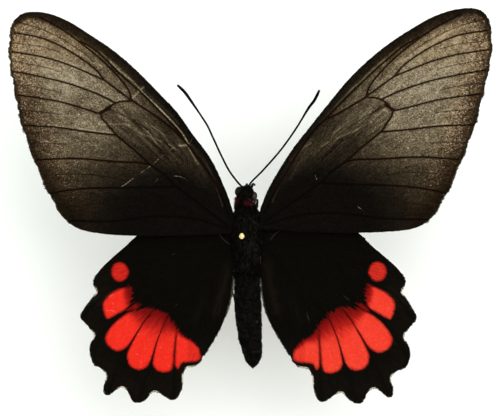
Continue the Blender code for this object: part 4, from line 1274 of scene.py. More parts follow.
def forewing_marks(points, lines):
    """What the forewing's material reads at each point."""
    away = points - lines["root"]
    radius = np.linalg.norm(away, axis=1)
    angle = np.degrees(np.arctan2(away[:, 1], np.abs(away[:, 0])))
    to_costa = distance_to(points, lines["costa"])
    to_margin = distance_to(points, lines["margin"])
    start = np.interp(angle, PALE_ANGLES, PALE_START)
    full = np.interp(angle, PALE_ANGLES, PALE_FULL)
    top = np.interp(angle, PALE_ANGLES, PALE_TOP)
    tone = PALE_BASE + (top - PALE_BASE) * smooth_step(radius, start, full)
    edge_tone = np.interp(points[:, 1], *EDGE_TONES[lines["side"]])
    tone *= edge_tone + (1 - edge_tone) * smooth_step(to_margin, 0.0, 4.8)
    tone *= 1 - glow_of(points, lines["shades"])
    tone *= 1 - CELL_TONE * smooth_step(radius, 15.0, 23.0) * inside(points, lines["cell"])
    band = np.interp(np.abs(points[:, 0]), BAND_PLACES, BAND_WIDTHS)
    if lines["side"] < 0:
        band *= np.interp(-points[:, 0], *LEFT_BAND)
    dark_edge = 1 - smooth_step(to_costa, 0.75 * band, 1.3 * band)
    rim = np.interp(points[:, 1], *RIM_WIDTHS)
    dark_edge = np.maximum(dark_edge, 0.85 * (1 - smooth_step(to_margin, 0.35 * rim, 1.25 * rim)))
    band_tone = np.interp(radius, *BAND_TONES)
    band_tone *= np.interp(np.minimum(to_costa, to_margin + 0.5) / band, *BAND_DEPTH_TONES)
    if lines["side"] < 0:
        band_tone *= np.interp(radius, *LEFT_BAND_TONES)
    tone = tone * (1 - dark_edge) + dark_edge * band_tone
    vein = distance_to(points, lines["veins"])
    vein = np.minimum(vein, np.maximum(distance_to(points, lines["blot"]) - 0.12, 0.0))
    fold = distance_to(points, lines["folds"])
    fold /= 1 + 0.9 * smooth_step(radius, 26.0, 31.0) * inside(points, lines["cell"])
    distal = smooth_step(radius, 20.0, 34.0)
    near_edge = smooth_step(to_margin, 0.4, 1.0) * (1 - smooth_step(to_margin, 1.6, 8.0))
    beside_fold = smooth_step(fold, 0.15, 0.25) * (1 - smooth_step(fold, 0.3, 0.7))
    chance = distal * (0.05 + 0.13 * near_edge + 0.13 * beside_fold) * (1 - dark_edge)
    chance *= smooth_step(tone, 30.0, 75.0)
    return {
        "pale": tone / PALE_RANGE,
        "warm": np.maximum(
            1 - smooth_step(to_margin, 0.5, WARM_REACH), 0.6 * smooth_step(points[:, 1], 30.0, 40.0)
        ),
        "outer": (1 - smooth_step(to_margin, 2.5, 8.5)) * smooth_step(tone, 22.0, 60.0),
        "vein": vein / np.interp(radius, *FORE_VEIN_WIDTHS),
        "fold": fold,
        # Painted highlights and paler tone from the lines
        "gleam": glow_of(points, lines["gleams"]) * (1 - 0.45 * dark_edge),
        # Where the wrinkles' light and shade is painted
        "wrinkle": glow_of(points, lines["wrinkles"]),
        "fleck": chance,
        **rub_marks(points, lines),
    }


def hindwing_lines(side):
    """The lines that a hindwing's shape and marks are worked out from, on their side."""
    carried = carrier(side, LEFT_HIND_PLACE, LEFT_HIND_BENDS)
    rubs = HIND_RUBS_AND_SHINE_LEFT if side < 0 else HIND_RUBS_AND_SHINE_RIGHT
    return {
        "side": side,
        "root": np.array([3.0 * side, -0.5]),
        "outline": carried(hind_outline(WING_STEP)),
        "veins": [carried(vein, VEIN_STEP) for vein in HIND_VEINS.values()],
        "folds": [carried(fold, VEIN_STEP) for fold in HIND_FOLDS],
        "rubs": [smooth_curve(line, 0.4) for line in rubs],
        "patches": [carried(closed_curve(patch, 0.4)) for patch in RED_PATCHES.values()],
        "sliver": [carried(closed_curve(RED_PATCHES["sliver"], 0.4))],
        "costal": [carried(np.array([(26.1, -6.3), (26.1, -7.4)]))],
        "inner": [carried(RED_INNER_EDGE, 0.6)],
        "soft": [carried(HIND_VEINS[name], VEIN_STEP) for name in SOFT_HIND_VEINS],
        "margin": [carried(HIND_MARGIN, 0.6)],
        # Lines of painted sheen on the black
        "streaks": [(carried(line, 0.8), width, power) for line, width, power in HIND_SHEEN_LINES],
    }


def hindwing_marks(points, lines):
    """What the hindwing's material reads at each point."""
    radius = np.linalg.norm(points - lines["root"], axis=1)
    out = np.abs(points[:, 0])
    to_margin = distance_to(points, lines["margin"])
    vein = distance_to(points, lines["veins"])
    depth = np.interp(out, DULL_PLACES, DULL_DEPTHS)
    depth = depth * np.interp(out, (14.0, 16.5), (1.25 if lines["side"] > 0 else 0.7, 1.0))
    inner = distance_to(points, lines["inner"]) / depth
    inner = np.minimum(inner, 0.3 + 3.0 * np.maximum(-signed_reach(points, lines["sliver"]), 0.0))
    inner = np.minimum(inner, 0.86 + 0.8 * np.maximum(distance_to(points, lines["costal"]) - 1.9, 0.0))
    inner = np.minimum(inner, np.interp(out, (11.6, 13.6), (1.02, 3.0)))
    return {
        "left": np.full(len(points), (1 - lines["side"]) / 2),
        "soft": (distance_to(points, lines["soft"]) < vein + 0.001) * 1.0,
        "pale": 0.075 + 0.065 * (1 - smooth_step(to_margin, 0.5, 7.0)),
        "vein": vein / np.interp(radius, HIND_VEIN_PLACES, HIND_VEIN_WIDTHS),
        "fold": distance_to(points, lines["folds"]),
        "red": signed_reach(points, lines["patches"]),
        "inner": np.minimum(inner, 3.0),
        # Painted sheen
        "gleam": glow_of(points, lines["streaks"]),
        "fleck": np.zeros(len(points)),
        **rub_marks(points, lines),
    }


def relief_of(marks):
    """Height of the veins' ridges, depth of the creases and the sag of the membrane between veins."""
    ridge = VEIN_HEIGHT * np.clip(1 - marks["vein"] / VEIN_HALF_WIDTH, 0, 1) ** 0.6
    crease = FOLD_DEPTH * np.exp(-((marks["fold"] / 0.3) ** 2))
    sag = SAG_DEPTH * (1 - np.exp(-((marks["vein"] / SAG_REACH) ** 2)))
    return ridge, crease + sag


def closed_wing(name, lines, marks_at, root_z, rise):
    """A thin closed wing: its flat mesh raised to the wing's surface, with relief on both faces."""
    creases = lines["folds"] + lines["rubs"] + [line for line, _, _ in lines.get("gleams", [])]
    flat, faces = wing_faces(lines["outline"], lines["veins"], creases)
    marks = marks_at(flat, lines)
    ridge, dip = relief_of(marks)
    middle = wing_height(flat, root_z, rise) - dip
    count = len(flat)
    rim = rim_of(faces)
    above = np.column_stack([flat, middle + MEMBRANE / 2 + ridge])
    below = np.column_stack([flat, middle - MEMBRANE / 2 - ridge * RIDGE_BELOW])
    walls = np.concatenate(
        [
            np.stack([rim[:, 0], rim[:, 0] + count, rim[:, 1] + count], 1),
            np.stack([rim[:, 0], rim[:, 1] + count, rim[:, 1]], 1),
        ]
    )
    all_faces = np.concatenate([faces, faces[:, ::-1] + count, walls])
    marks["shade"] = np.full(count, 0.5)
    both = {key: np.tile(data, 2) for key, data in marks.items()}
    flow = {"flow": np.tile(flow_of(flat, lines["root"]), (2, 1))}
    return add_mesh(name, np.concatenate([above, below]), all_faces, both, flow)


def lie_of(points, veins):
    """The way the scales point at each place: outward, along the veins nearest to it."""
    marks = np.concatenate([line[1::2] for line in veins])
    ways = unit(np.concatenate([(line[1::2] - line[:-1:2][: len(line[1::2])]) for line in veins]))
    lie = np.empty_like(points)
    for first in range(0, len(points), BATCH):
        part = points[first : first + BATCH]
        squares = ((part[:, None, :] - marks[None, :, :]) ** 2).sum(2)
        lie[first : first + BATCH] = (1 / (squares + 1.0) ** 2) @ ways
    return unit(lie)


def map_place(points, outline):
    """Where each point lies on the wing laid out flat, from 0 to 1."""
    low = outline.min(0)
    size = (outline.max(0) - low).max()
    return 0.02 + 0.96 * (points - low) / size


def scale_points(roots, ways, normals, lengths, widths, lift):
    """The five corners of each shovel-shaped scale, raised a little at the tip."""
    across = np.cross(ways, normals)
    ahead = ways * lengths[:, None]
    up = normals * (lengths * lift)[:, None]
    half = across * widths[:, None] / 2
    waist = roots + ahead * 0.5 + up * 0.6
    tip = roots + ahead * 0.97 + up
    return np.stack([roots, waist - half, waist + half, tip - half * 0.72, tip + half * 0.72], 1)


def scale_mesh(name, corners, marks_at, lines, own, places):
    """Scales of three triangles: marks are read at every corner, and each scale has values of its own."""
    count = len(corners)
    shape = np.array([[0, 2, 1], [1, 2, 4], [1, 4, 3]])
    faces = (np.arange(count)[:, None, None] * 5 + shape[None]).reshape(-1, 3)
    patch = PATCH * np.array([[0, -1], [-1, 0], [1, 0], [-0.7, 1], [0.7, 1]])
    layout = np.clip(places[:, None, :] + patch[None], 0.001, 0.999).reshape(-1, 2)
    flat = corners.reshape(-1, 3)
    marks = marks_at(flat[:, :2], lines)
    del marks["fleck"]
    marks.update({key: np.repeat(data, 5) for key, data in own.items()})
    flow = {"flow": flow_of(flat[:, :2], lines["root"])}
    return add_mesh(name, flat, faces, marks, flow, {"OFBake": layout}, smooth=False)


def add_scales(name, lines, marks_at, roots, heights, lie, face, lengths, widths, lift, own):
    """Scales set at their roots and heights, each lying the way it is given."""
    count = len(roots)
    feet = np.column_stack([roots, heights])
    ways = np.column_stack([lie, np.zeros(count)])
    normals = np.tile((0.0, 0.0, float(face)), (count, 1))
    corners = scale_points(feet, ways, normals, lengths, widths, lift)
    return scale_mesh(name, corners, marks_at, lines, own, map_place(roots, lines["outline"]))


def wing_scales(name, lines, marks_at, root_z, rise, slim_where_pale, seed):
    """Overlapping scales on both faces of a wing, as two joined meshes."""
    random = np.random.default_rng(seed)
    middle_way = math.atan2(*(lines["outline"].mean(0) - lines["root"])[::-1])
    pieces = []
    for face, word, (across, along, length, width) in SCALES:
        roots = net_of(lines["outline"], across, along, middle_way - math.pi / 2)
        roots = roots + random.uniform(-0.4, 0.4, roots.shape) * across
        roots = roots[inside(roots, lines["outline"])]
        roots = roots[distance_to(roots, [closed(lines["outline"])]) > 0.12]
        count = len(roots)
        lie = lie_of(roots, lines["veins"])
        sway = random.normal(0, 0.15, count)
        lie = unit(np.stack([lie[:, 0] - lie[:, 1] * sway, lie[:, 1] + lie[:, 0] * sway], 1))
        marks = marks_at(roots, lines)
        ridge, dip = relief_of(marks)
        slim = slim_where_pale * smooth_step(marks["pale"], 0.15, 0.5) * smooth_step(marks["vein"], 0.25, 0.4)
        lengths = length * random.uniform(0.8, 1.2, count)
        widths = width * random.uniform(0.8, 1.15, count) * (1 - 0.35 * slim)
        lift = random.uniform(0.04, 0.13, count)
        height = wing_height(roots, root_z, rise) - dip
        height += face * (MEMBRANE / 2 + ridge * (1.0 if face > 0 else RIDGE_BELOW) + SCALE_GAP)
        rays = flow_of(roots, lines["root"])[:, :2]
        clump = 0.25 + 2.2 * np.clip(smooth_field(rays * (1.0, 0.4), 0.55, seed), 0, 1) ** 3
        sparks = random.random(count) < marks["fleck"] * clump
        own = {
            "shade": np.clip(random.normal(0.47, 0.22, count), 0, 1),
            "spark": sparks * random.uniform(0.25, 1.0, count) ** 1.5,
        }
        given = (roots, height, lie, face, lengths, widths, lift, own)
        pieces.append(add_scales(f"{name}_scales_{word}", lines, marks_at, *given))
    return pieces


def edge_way(outline):
    """Points about every 0.1 mm along a closed outline, with the way out at each."""
    line = closed(outline)
    way = way_along(line)
    at = np.arange(0.0, way[-1], 0.1)
    points = np.stack([np.interp(at, way, line[:, 0]), np.interp(at, way, line[:, 1])], 1)
    ahead = unit(np.roll(points, -2, axis=0) - np.roll(points, 2, axis=0))
    out = np.stack([ahead[:, 1], -ahead[:, 0]], 1)
    if inside(points[:1] + out[:1] * 0.05, outline)[0]:
        out = -out
    return points, out


def smooth_field(points, size, seed):
    """A smooth random number from 0 to 1 over the plane, with swells about a size apart."""
    random = np.random.default_rng(seed)
    total = np.zeros(len(points))
    for _ in range(6):
        turn = random.uniform(0, math.pi)
        wave = random.uniform(0.7, 1.6) * 2 * math.pi / (3 * size)
        phase = (points[:, 0] * math.cos(turn) + points[:, 1] * math.sin(turn)) * wave
        total += np.sin(phase + random.uniform(0, 6.3))
    return 0.5 + total / 6.0


def wing_fringe(name, lines, marks_at, root_z, rise, reach_at, cream_at, ragged, seed):
    """Slim scales that stand out from the wing's edge, longest where reach_at says so."""
    random = np.random.default_rng(seed)
    points, out = edge_way(lines["outline"])
    roots = np.repeat(points, 4, axis=0) + random.uniform(-0.05, 0.05, (len(points) * 4, 2))
    out = np.repeat(out, 4, axis=0)
    reach = reach_at(roots)
    kept = reach > 0.02
    roots, out, reach = roots[kept], out[kept], reach[kept]
    count = len(roots)
    lie = lie_of(roots, lines["veins"])
    ways = unit(out + 0.35 * lie + random.normal(0, 0.25, out.shape))
    roots = roots - ways * 0.12
    own = {
        "shade": np.clip(random.normal(0.5, 0.25, count), 0, 1),
        "spark": np.zeros(count),
        "cream": cream_at(roots, random),
    }
    tufted = np.clip(1 + ragged * (2 * smooth_field(roots, 0.42, seed) - 1), 0, None)
    lengths = (reach * tufted + 0.12) * random.uniform(0.5, 1.2, count)
    widths = random.uniform(0.05, 0.10, count)
    lift = random.normal(0.0, 0.10, count)
    height = wing_height(roots, root_z, rise) + random.uniform(-0.04, 0.04, count)
    given = (roots, height, ways, 1, lengths, widths, lift, own)
    return add_scales(f"{name}_fringe", lines, marks_at, *given)


def wing_pieces(name, lines, marks_at, shape, slim, ragged, reach_at, cream_at, seed, skin):
    """A wing's membrane, the scales of both faces and the fringe."""
    pieces = [closed_wing(f"{name}_membrane", lines, marks_at, *shape)]
    pieces += wing_scales(name, lines, marks_at, *shape, slim, seed)
    pieces.append(wing_fringe(name, lines, marks_at, *shape, reach_at, cream_at, ragged, seed + 10))
    return [dressed(piece, skin) for piece in pieces]


def make_forewing(side, word, skin):
    """One forewing: membrane, scales on both faces and the fringe of its outer margin."""
    lines = forewing_lines(side)

    def reach_at(points):
        margin = 1 - smooth_step(distance_to(points, lines["margin"]), 0.4, 0.9)
        return np.maximum(FRINGE_LENGTH * margin, 0.04)

    def cream_at(points, random):
        low = 1 - smooth_step(points[:, 1], 10.0, 26.0)
        low *= distance_to(points, lines["margin"]) < 0.5
        return 0.30 * low * (random.random(len(points)) < 0.2)

    shape = (FORE_WING_Z, FORE_TIP_RISE)
    given = (shape, 1.0, 0.9, reach_at, cream_at, SEED + 10 + side, skin)
    return wing_pieces(f"forewing_{word}", lines, forewing_marks, *given)


def make_hindwing(side, word, skin):
    """One hindwing: membrane, scales on both faces, and a fringe that is cream in the notches."""
    lines = hindwing_lines(side)
    carried = carrier(side, LEFT_HIND_PLACE, LEFT_HIND_BENDS)
    inner = [carried(HIND_INNER_EDGE, 0.8)]
    notches = carried(HIND_NOTCHES)

    def reach_at(points):
        margin = 1 - smooth_step(distance_to(points, lines["margin"]), 0.2, 0.6)
        body_side = 1 - smooth_step(distance_to(points, inner), 0.2, 0.6)
        return np.maximum(FRINGE_LENGTH * margin, np.interp(points[:, 1], *BODY_EDGE_HAIR) * body_side)

    def cream_at(points, random):
        away = np.sqrt(((points[:, None, :] - notches[None, :, :]) ** 2).sum(2)).min(1)
        notched = (1 - smooth_step(away, 0.6, 1.3)) * (random.random(len(points)) < 0.75)
        body_side = 1 - smooth_step(distance_to(points, inner), 0.2, 0.6)
        body_side *= smooth_step(-points[:, 1], 7.6, 9.5) * (1 - smooth_step(-points[:, 1], 13.0, 17.0))
        return np.maximum(notched, 0.12 * body_side * (random.random(len(points)) < 0.5))

    shape = (HIND_WING_Z, HIND_EDGE_RISE)
    given = (shape, 0.0, 0.25, reach_at, cream_at, SEED + 30 + side, skin)
    return wing_pieces(f"hindwing_{word}", lines, hindwing_marks, *given)


# Body


def head_point(point):
    """A point given in the turned head's own frame, in the row frame."""
    x, y = turned(point[0], point[1], HEAD_TURN)
    return np.array([HEAD_CENTRE[0] + x, HEAD_CENTRE[1] + y, HEAD_CENTRE[2] + point[2]])


def skin_rings():
    """Close-set rings of the body from head to tail: centre, half width, half height and turn."""
    rows = []
    for along, half_width, half_height in HEAD_RINGS:
        centre = head_point((0.0, along, 0.0))
        rows.append((*centre, half_width, half_height, HEAD_TURN))
    for y, half_width, half_height, x, z in PROTHORAX_RINGS + THORAX_RINGS + ABDOMEN_SPINE:
        rows.append((x, y, z, half_width, half_height, 0.0))
    rows = np.array(rows)
    way = way_along(rows[:, :3])
    places = np.arange(0.0, way[-1], SKIN_STEP)
    dense = np.stack([np.interp(places, way, rows[:, column]) for column in range(6)], 1)
    kernel = np.hanning(9)
    kernel /= kernel.sum()
    padded = np.pad(dense, ((4, 4), (0, 0)), "edge")
    smoothed = np.stack([np.convolve(padded[:, column], kernel, "valid") for column in range(6)], 1)
    smoothed[:2] = dense[:2]
    smoothed[-2:] = dense[-2:]
    return smoothed


def abdomen_steps(y):
    """How far each abdomen ring stands in or out, so that each segment laps over the next."""
    front = ABDOMEN_SPINE[0][0]
    rear = ABDOMEN_SPINE[-1][0]
    place = (front - y) / (front - rear) * ABDOMEN_SEGMENTS
    inside_segment = place - np.floor(place)
    lap = 0.07 * inside_segment - 0.16 * np.exp(-((inside_segment / 0.07) ** 2))
    lap -= 0.16 * np.exp(-(((1 - inside_segment) / 0.03) ** 2))
    return np.where((y < front - 0.5) & (y > rear + 1.0), lap, 0.0)


def make_skin(rings, skin):
    """One skin over head, neck, thorax and abdomen."""
    angles = np.arange(SKIN_SIDES) * 2 * math.pi / SKIN_SIDES
    lap = abdomen_steps(rings[:, 1])
    inset = np.minimum(SKIN_INSET, 0.5 * rings[:, 3])
    across = np.outer(rings[:, 3] - inset + lap, np.cos(angles))
    up = np.outer(rings[:, 4] - inset + lap, np.sin(angles))
    x = rings[:, 0:1] + across * np.cos(rings[:, 5:6])
    y = rings[:, 1:2] + across * np.sin(rings[:, 5:6])
    z = rings[:, 2:3] + up
    points = np.stack([x, y, z], 2)
    body = add_mesh("body_skin", points.reshape(-1, 3), ring_faces(len(rings), SKIN_SIDES))
    return dressed(body, skin), points


# Hair


def tuft_mesh(name, roots, headings, normals, lengths, widths, places, values):
    """Flat tapering hairs, each with a foot, a middle and a tip that bends towards the body."""
    count = len(roots)
    headings = unit(headings)
    across = unit(np.cross(headings, normals))
    half = across * widths[:, None] / 2
    middle = roots + headings * lengths[:, None] * 0.5
    tip = roots + headings * lengths[:, None] - normals * (HAIR_DROOP * lengths)[:, None]
    middle -= normals * (0.25 * HAIR_DROOP * lengths)[:, None]
    points = np.stack([roots - half * 0.7, roots + half * 0.7, middle + half, middle - half, tip], 1)
    shape = np.array([[0, 1, 2], [0, 2, 3], [3, 2, 4]])
    faces = (np.arange(count)[:, None, None] * 5 + shape[None]).reshape(-1, 3)
    patch = PATCH * np.array([[-0.7, -1], [0.7, -1], [1, 0], [-1, 0], [0, 1]])
    layout = np.clip(places[:, None, :] + patch[None], 0.0, 1.0).reshape(-1, 2)
    spread = {key: np.repeat(data, 5) for key, data in values.items()}
    return add_mesh(name, points.reshape(-1, 3), faces, spread, None, {"OFBake": layout}, smooth=False)


def scatter_on_skin(points, rings, count, chance, random):
    """Random places on the skin, likelier where chance says so: point, way out, way back, map place."""
    ring_count, sides = points.shape[:2]
    along = np.linalg.norm(points[1:] - points[:-1], axis=2)
    around = np.linalg.norm(np.roll(points, -1, axis=1) - points, axis=2)[:-1]
    weight = along * around * chance(points[:-1])
    flat = np.cumsum(weight.ravel())
    picks = np.searchsorted(flat, random.random(count) * flat[-1])
    ring, side = np.unravel_index(picks, weight.shape)
    s = random.random(count)[:, None]
    t = random.random(count)[:, None]
    beside = (side + 1) % sides
    near = points[ring, side] * (1 - s) + points[ring, beside] * s
    far = points[ring + 1, side] * (1 - s) + points[ring + 1, beside] * s
    roots = near * (1 - t) + far * t
    back = unit(far - near)
    outward = unit(np.cross(points[ring, beside] - points[ring, side], back))
    centre = rings[ring, :3]
    outward *= np.sign(((roots - centre) * outward).sum(1))[:, None]
    places = np.column_stack([(side + s[:, 0]) / sides, (ring + t[:, 0]) / ring_count])
    return roots, outward, back, places


def in_eye(points, side, margin):
    """Which points lie inside an eye grown by a margin."""
    away = points - np.array(HEAD_CENTRE)
    x, y = turned(away[:, 0], away[:, 1], -HEAD_TURN)
    local = np.stack([x, y, away[:, 2]], 1) - np.array([side * EYE_PLACE[0], *EYE_PLACE[1:]])
    return ((local / (np.array(EYE_HALF_AXES) + margin)) ** 2).sum(1) < 1.0


def body_hair(points, rings, hair):
    """Dense hair over the body: long on neck and thorax, flat and short on the abdomen and head."""
    random = np.random.default_rng(SEED)
    pieces = []
    streaks = [(np.array(line), width, power) for line, width, power in BROWN_STREAKS]
    for name, (count, rear, front, length, width, lift, left_end, right_end) in HAIR_REGIONS.items():

        def chance(place):
            across, along = place[:, :, 0], place[:, :, 1]
            return ((along > rear) & (along < front) & (across > left_end) & (across < right_end)) * 1.0

        roots, outward, back, places = scatter_on_skin(points, rings, count, chance, random)
        keep = ~in_eye(roots, -1, 0.02) & ~in_eye(roots, 1, 0.02)
        roots, outward, back, places = roots[keep], outward[keep], back[keep], places[keep]
        many = len(roots)
        clump = smooth_field(roots[:, :2] * (1.0, 0.5), 0.5, SEED + count) - 0.5
        sway = random.normal(0, 0.20, (many, 3))
        sway[:, 0] += 0.9 * clump
        headings = back + outward * (lift + random.normal(0, 0.12, many))[:, None] + sway
        lengths = length * random.uniform(0.55, 1.4, many)
        widths = width * random.uniform(0.7, 1.3, many)
        flat = roots[:, :2]
        crimson = np.zeros(many)
        for centre, size, low in CRIMSON_TUFTS:
            near = np.exp(-((((flat - centre) / size) ** 2).sum(1)))
            crimson = np.maximum(crimson, near * (roots[:, 2] > low))
        brown = np.maximum(glow_of(flat, streaks), 0.6 * smooth_step(-roots[:, 1], 25.6, 26.1))
        for x, y, size in ABDOMEN_SPOTS:
            brown = np.maximum(brown, 1.0 * (((flat - (x, y)) ** 2).sum(1) < size**2))
        shade = random.random(many) ** 5 * (0.7 + 0.9 * np.clip(clump + 0.2, 0, 1))
        shade *= np.interp(roots[:, 1], (-8.0, -6.0), (0.75, 1.1))
        values = {
            "tint": (random.random(many) < np.minimum(crimson * 1.1, 0.85)) * random.uniform(0.3, 1.0, many),
            "brown": (random.random(many) < brown * (roots[:, 2] > 26.0)) * random.uniform(0.3, 0.9, many),
            "shade": np.clip(shade, 0, 1),
        }
        lengths = lengths * (1 + 0.35 * np.minimum(crimson, 1.0))
        piece = tuft_mesh(name, roots, headings, outward, lengths, widths, places, values)
        pieces.append(dressed(piece, hair))
    return pieces


# Eyes, limbs and pin


def make_eyes(skin):
    """Two eyes, each a closed ball of rings stretched to its half axes."""
    pieces = []
    levels = np.linspace(math.pi * 0.02, math.pi * 0.98, EYE_RINGS)
    angles = np.arange(EYE_SIDES) * 2 * math.pi / EYE_SIDES
    circle = np.column_stack([np.cos(angles), np.sin(angles)])
    rings = [np.column_stack([np.sin(a) * circle, np.full(EYE_SIDES, -np.cos(a))]) for a in levels]
    ball = np.concatenate(rings)
    for side, word in SIDES:
        local = ball * (np.array(EYE_HALF_AXES) - 0.02)
        local += (side * EYE_PLACE[0], *EYE_PLACE[1:])
        points = np.array([head_point(place) for place in local])
        # Painted light: the right eye is marked to be painted paler than the left
        light = np.full(len(points), (1 + side) / 2)
        eye = add_mesh(f"eye_{word}_facets", points, ring_faces(EYE_RINGS, EYE_SIDES), {"light": light})
        pieces.append(dressed(eye, skin))
    return pieces


def make_antennae(skin):
    """Ringed antennae that swell to a slender club and taper at the tip."""
    pieces = []
    for side, word, route in ((-1, "left", ANTENNA_LEFT), (1, "right", ANTENNA_RIGHT)):
        root = head_point((side * ANTENNA_ROOT[0], *ANTENNA_ROOT[1:]))
        path = smooth_curve([root, *route], 0.09)
        way = way_along(path)
        t = way / way[-1]
        club = smooth_step(t, 0.70, 0.90) * (1 - smooth_step(t, 0.955, 1.0) * 0.75)
        radii = ANTENNA_RADIUS + CLUB_SWELL * club
        radii = radii + ROOT_SWELL * (1 - smooth_step(way, 0.3, 0.9))
        ringed = np.abs(np.sin(math.pi * way / RING_SPACING)) ** 0.5
        radii = radii * (0.88 + 0.12 * ringed)
        radii[-1] = 0.03
        pieces.append(dressed(add_tube(f"antenna_{word}_ringed", path, radii, 12), skin))
    return pieces


def make_palps(skin):
    """Labial palps: the right one hooks out beside the head, the left one stays under it."""
    pieces = []
    for word, route in (("left", PALP_LEFT), ("right", PALP_RIGHT)):
        path = smooth_curve([head_point(place) for place in route], 0.08)
        places = np.linspace(0, len(PALP_RADII) - 1, len(path))
        radii = np.interp(places, range(len(PALP_RADII)), PALP_RADII) * 0.85
        pieces.append(dressed(add_tube(f"palp_{word}_scaled", path, radii, 14), skin))
    return pieces


def make_proboscis(skin):
    """The coiled tongue."""
    steps = 150
    t = np.linspace(0, 1, steps)
    angle = math.pi / 2 - 2 * math.pi * PROBOSCIS_TURNS * t
    radius = PROBOSCIS_RADII[0] + (PROBOSCIS_RADII[1] - PROBOSCIS_RADII[0]) * t
    x, y, z = PROBOSCIS_CENTRE
    path = [head_point((x, y + r * math.cos(a), z + r * math.sin(a))) for r, a in zip(radius, angle)]
    radii = np.interp(t, [0, 0.8, 1], [0.15, 0.11, 0.05]) * (0.94 + 0.06 * np.sin(np.arange(steps) * 2.0))
    return dressed(add_tube("proboscis_coil", path, radii, 10), skin)


def claws_of(path):
    """Two claws that spread from a foot's tip and hook down."""
    heading = path[-1] - path[-4]
    heading /= np.linalg.norm(heading)
    aside = np.cross(heading, (0, 0, 1))
    aside /= np.linalg.norm(aside)
    made = []
    for way_out in (-1, 1):
        claw = [
            path[-1] + heading * ahead + aside * way_out * apart + np.array([0, 0, -drop])
            for ahead, apart, drop in CLAW
        ]
        claw = smooth_curve(claw, 0.05)
        made.append(add_tube("claw", claw, np.linspace(0.05, 0.012, len(claw)), 6))
    return made


def spines_of(path, radii, t, random):
    """Short spines round the shin and foot, leaning towards the tip."""
    made = []
    for place in np.arange(*SPINE_SPAN):
        index = int(np.searchsorted(t, place))
        forward = path[min(index + 1, len(path) - 1)] - path[index - 1]
        forward /= np.linalg.norm(forward)
        turn = random.uniform(0, 2 * math.pi)
        out = np.cross(forward, (math.cos(turn), math.sin(turn), 0.3))
        out /= np.linalg.norm(out)
        start = path[index] + out * radii[index] * 0.7
        spine = [start, start + (out + forward) * 0.09, start + (out + forward * 1.4) * 0.17]
        made.append(add_tube("spine", spine, SPINE_RADII, 5))
    return made


def make_legs(skin):
    """Six legs, each with thigh, shin, a foot of five joints, spines and two claws."""
    random = np.random.default_rng(SEED + 1)
    pieces = []
    for leg, route in LEG_PATHS.items():
        for side, word in SIDES:
            out = side * (LEFT_FORELEG_TUCK if (leg, word) == ("foreleg", "left") else 1.0)
            path = smooth_curve([(out * x, y, z) for x, y, z in route], 0.08)
            way = way_along(path)
            t = way / way[-1]
            radii = np.interp(t, [place for place, _ in LEG_SHAPE], [size for _, size in LEG_SHAPE])
            foot = np.clip((t - TARSUS_START) / (1 - TARSUS_START), 0, 1) * TARSUS_JOINTS
            waist = np.exp(-(((foot - np.round(foot)) / 0.08) ** 2)) * (t > TARSUS_START)
            radii = radii * (1 - 0.28 * waist)
            parts = [add_tube("leg", path, radii, 12), *claws_of(path), *spines_of(path, radii, t, random)]
            piece = dressed(joined(f"{leg}_{word}_joints", parts), skin)
            pieces.append((piece, f"{leg}_{word}"))
    return pieces


def make_pin(metal):
    """The pin: a ball head with a flat where it was upset, a thin shaft and a long point."""
    x, y = PIN_AT
    head_z = PIN_TOP_Z - PIN_HEAD_RADIUS
    profile = [(PIN_TIP_Z, 0.02), (PIN_TIP_Z + PIN_POINT_LENGTH, PIN_RADIUS * 0.9)]
    neck = math.acos(PIN_RADIUS * 0.9 / PIN_HEAD_RADIUS)
    profile.append((head_z - PIN_HEAD_RADIUS - 0.12, PIN_RADIUS * 0.9))
    profile.append((head_z - PIN_HEAD_RADIUS * 0.97, PIN_RADIUS * 1.15))
    for angle in np.linspace(-neck, math.radians(88), 26):
        profile.append((head_z + PIN_HEAD_RADIUS * math.sin(angle), PIN_HEAD_RADIUS * math.cos(angle)))
    path = [(x, y, z) for z, _ in profile]
    return dressed(add_tube("pin_brass", path, [radius for _, radius in profile], 48), metal)


# Scene


def make_stage():
    """A plain pale floor, soft light and the camera straight above."""
    corners = [(x * FLOOR_REACH, y * FLOOR_REACH, 0) for x, y in ((-1, -1), (1, -1), (1, 1), (-1, 1))]
    floor = add_mesh("floor", corners, [(0, 1, 2), (0, 2, 3)], smooth=False)
    made, tree, shader = new_material("floor_paper")
    where = put(tree, "ShaderNodeTexCoord").outputs["Object"]
    shade = noise(tree, where, 6.0, 1.0, 0.4)
    surfaced(tree, shader, mixed(tree, shade, (0.95, 0.97, 0.95, 1), (0.965, 0.985, 0.965, 1)), 0.9, 0.0)
    dressed(floor, made)

    world = bpy.data.worlds.new("studio")
    world.use_nodes = True
    background = world.node_tree.nodes["Background"]
    background.inputs["Color"].default_value = SKY_TINT
    background.inputs["Strength"].default_value = SKY_LIGHT
    bpy.context.scene.world = world

    lamp = bpy.data.lights.new("soft_box", "AREA")
    lamp.energy = LAMP_POWER
    lamp.color = (1.0, 0.98, 1.0)
    lamp.size = LAMP_SIZE
    box = bpy.data.objects.new("soft_box", lamp)
    box.location = Vector(LAMP_AT) * MM
    box.rotation_euler = (Vector(LAMP_AIM) * MM - box.location).to_track_quat("-Z", "Y").to_euler()
    bpy.context.scene.collection.objects.link(box)

    camera_data = bpy.data.cameras.new("camera")
    camera_data.sensor_width = SENSOR
    camera_data.clip_end = 10.0
    wing_level = FORE_WING_Z + CAMBER
    camera_data.lens = SENSOR * (CAMERA_HEIGHT - wing_level) / (PHOTO_SIZE[0] * PIXEL)
    camera = bpy.data.objects.new("camera", camera_data)
    x = (PHOTO_SIZE[0] / 2 - PHOTO_ORIGIN[0]) * PIXEL
    y = (PHOTO_ORIGIN[1] - PHOTO_SIZE[1] / 2) * PIXEL
    camera.location = Vector((x, y, CAMERA_HEIGHT)) * MM
    bpy.context.scene.collection.objects.link(camera)
    bpy.context.scene.camera = camera
    bpy.context.scene.view_settings.view_transform = "Standard"


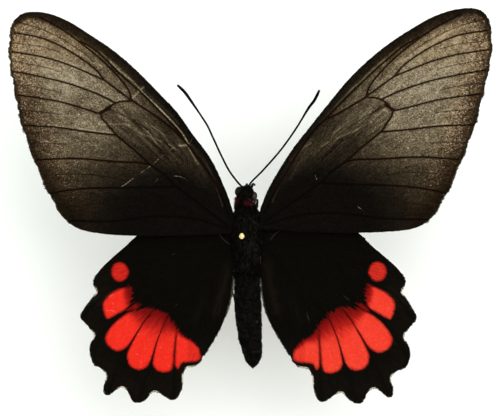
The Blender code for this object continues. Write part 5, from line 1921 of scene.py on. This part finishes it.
def main():
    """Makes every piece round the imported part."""
    for old in list(bpy.data.objects):
        bpy.data.objects.remove(old)
    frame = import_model()
    make_stage()

    fore_skin = forewing_material()
    hind_skin = hindwing_material()
    body_skin = plain_material("body_chitin", colour(4, 4, 3), colour(12, 11, 8), 900.0, 0.6, 0.05)
    limb_skin = plain_material("limb_chitin", colour(12, 9, 7), colour(30, 24, 18), 1500.0, 0.5, 0.2)
    antenna_skin = plain_material("antenna_chitin", colour(2, 2, 1), colour(8, 7, 5), 1500.0, 0.6, 0.02)
    brass_tones = ((0.78, 0.55, 0.24, 1), (0.86, 0.66, 0.34, 1))
    brass = plain_material("brass", *brass_tones, 700.0, 0.22, 0.5, 0.00001, 1.0)
    paint_tones = ((0.77, 0.76, 0.73, 1), (0.84, 0.83, 0.80, 1))
    paint = plain_material("painted_wood", *paint_tones, 420.0, 0.55, 0.3, 0.00006, stretch=(0.12, 1, 1))
    hair = hair_material()
    eye_skin = eye_material()

    placed_pieces = []
    for side, word in SIDES:
        for piece in make_forewing(side, word, fore_skin):
            placed_pieces.append((piece, "forewing", [f"forewing_{word}"]))
        for piece in make_hindwing(side, word, hind_skin):
            placed_pieces.append((piece, "hindwing", [f"hindwing_{word}"]))
    rings = skin_rings()
    body, grid = make_skin(rings, body_skin)
    placed_pieces.append((body, "body", ["head", "prothorax", "thorax", "abdomen"]))
    for piece in body_hair(grid, rings, hair):
        placed_pieces.append((piece, "body", []))
    for make, skin, slot, node in (
        (make_eyes, eye_skin, "eye", "eye"),
        (make_antennae, antenna_skin, "limb", "antenna"),
        (make_palps, limb_skin, "limb", "palp"),
    ):
        for piece, (_, word) in zip(make(skin), SIDES):
            placed_pieces.append((piece, slot, [f"{node}_{word}"]))
    placed_pieces.append((make_proboscis(limb_skin), "limb", ["proboscis"]))
    for piece, node in make_legs(limb_skin):
        placed_pieces.append((piece, "limb", [node]))
    placed_pieces.append((make_pin(brass), "pin", ["pin"]))
    for piece, slot, nodes in placed_pieces:
        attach(piece, "root")
        if nodes:
            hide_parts(*nodes)
    for slot in frame["nodes"]["stand_base"].material_slots:
        slot.material = paint


main()
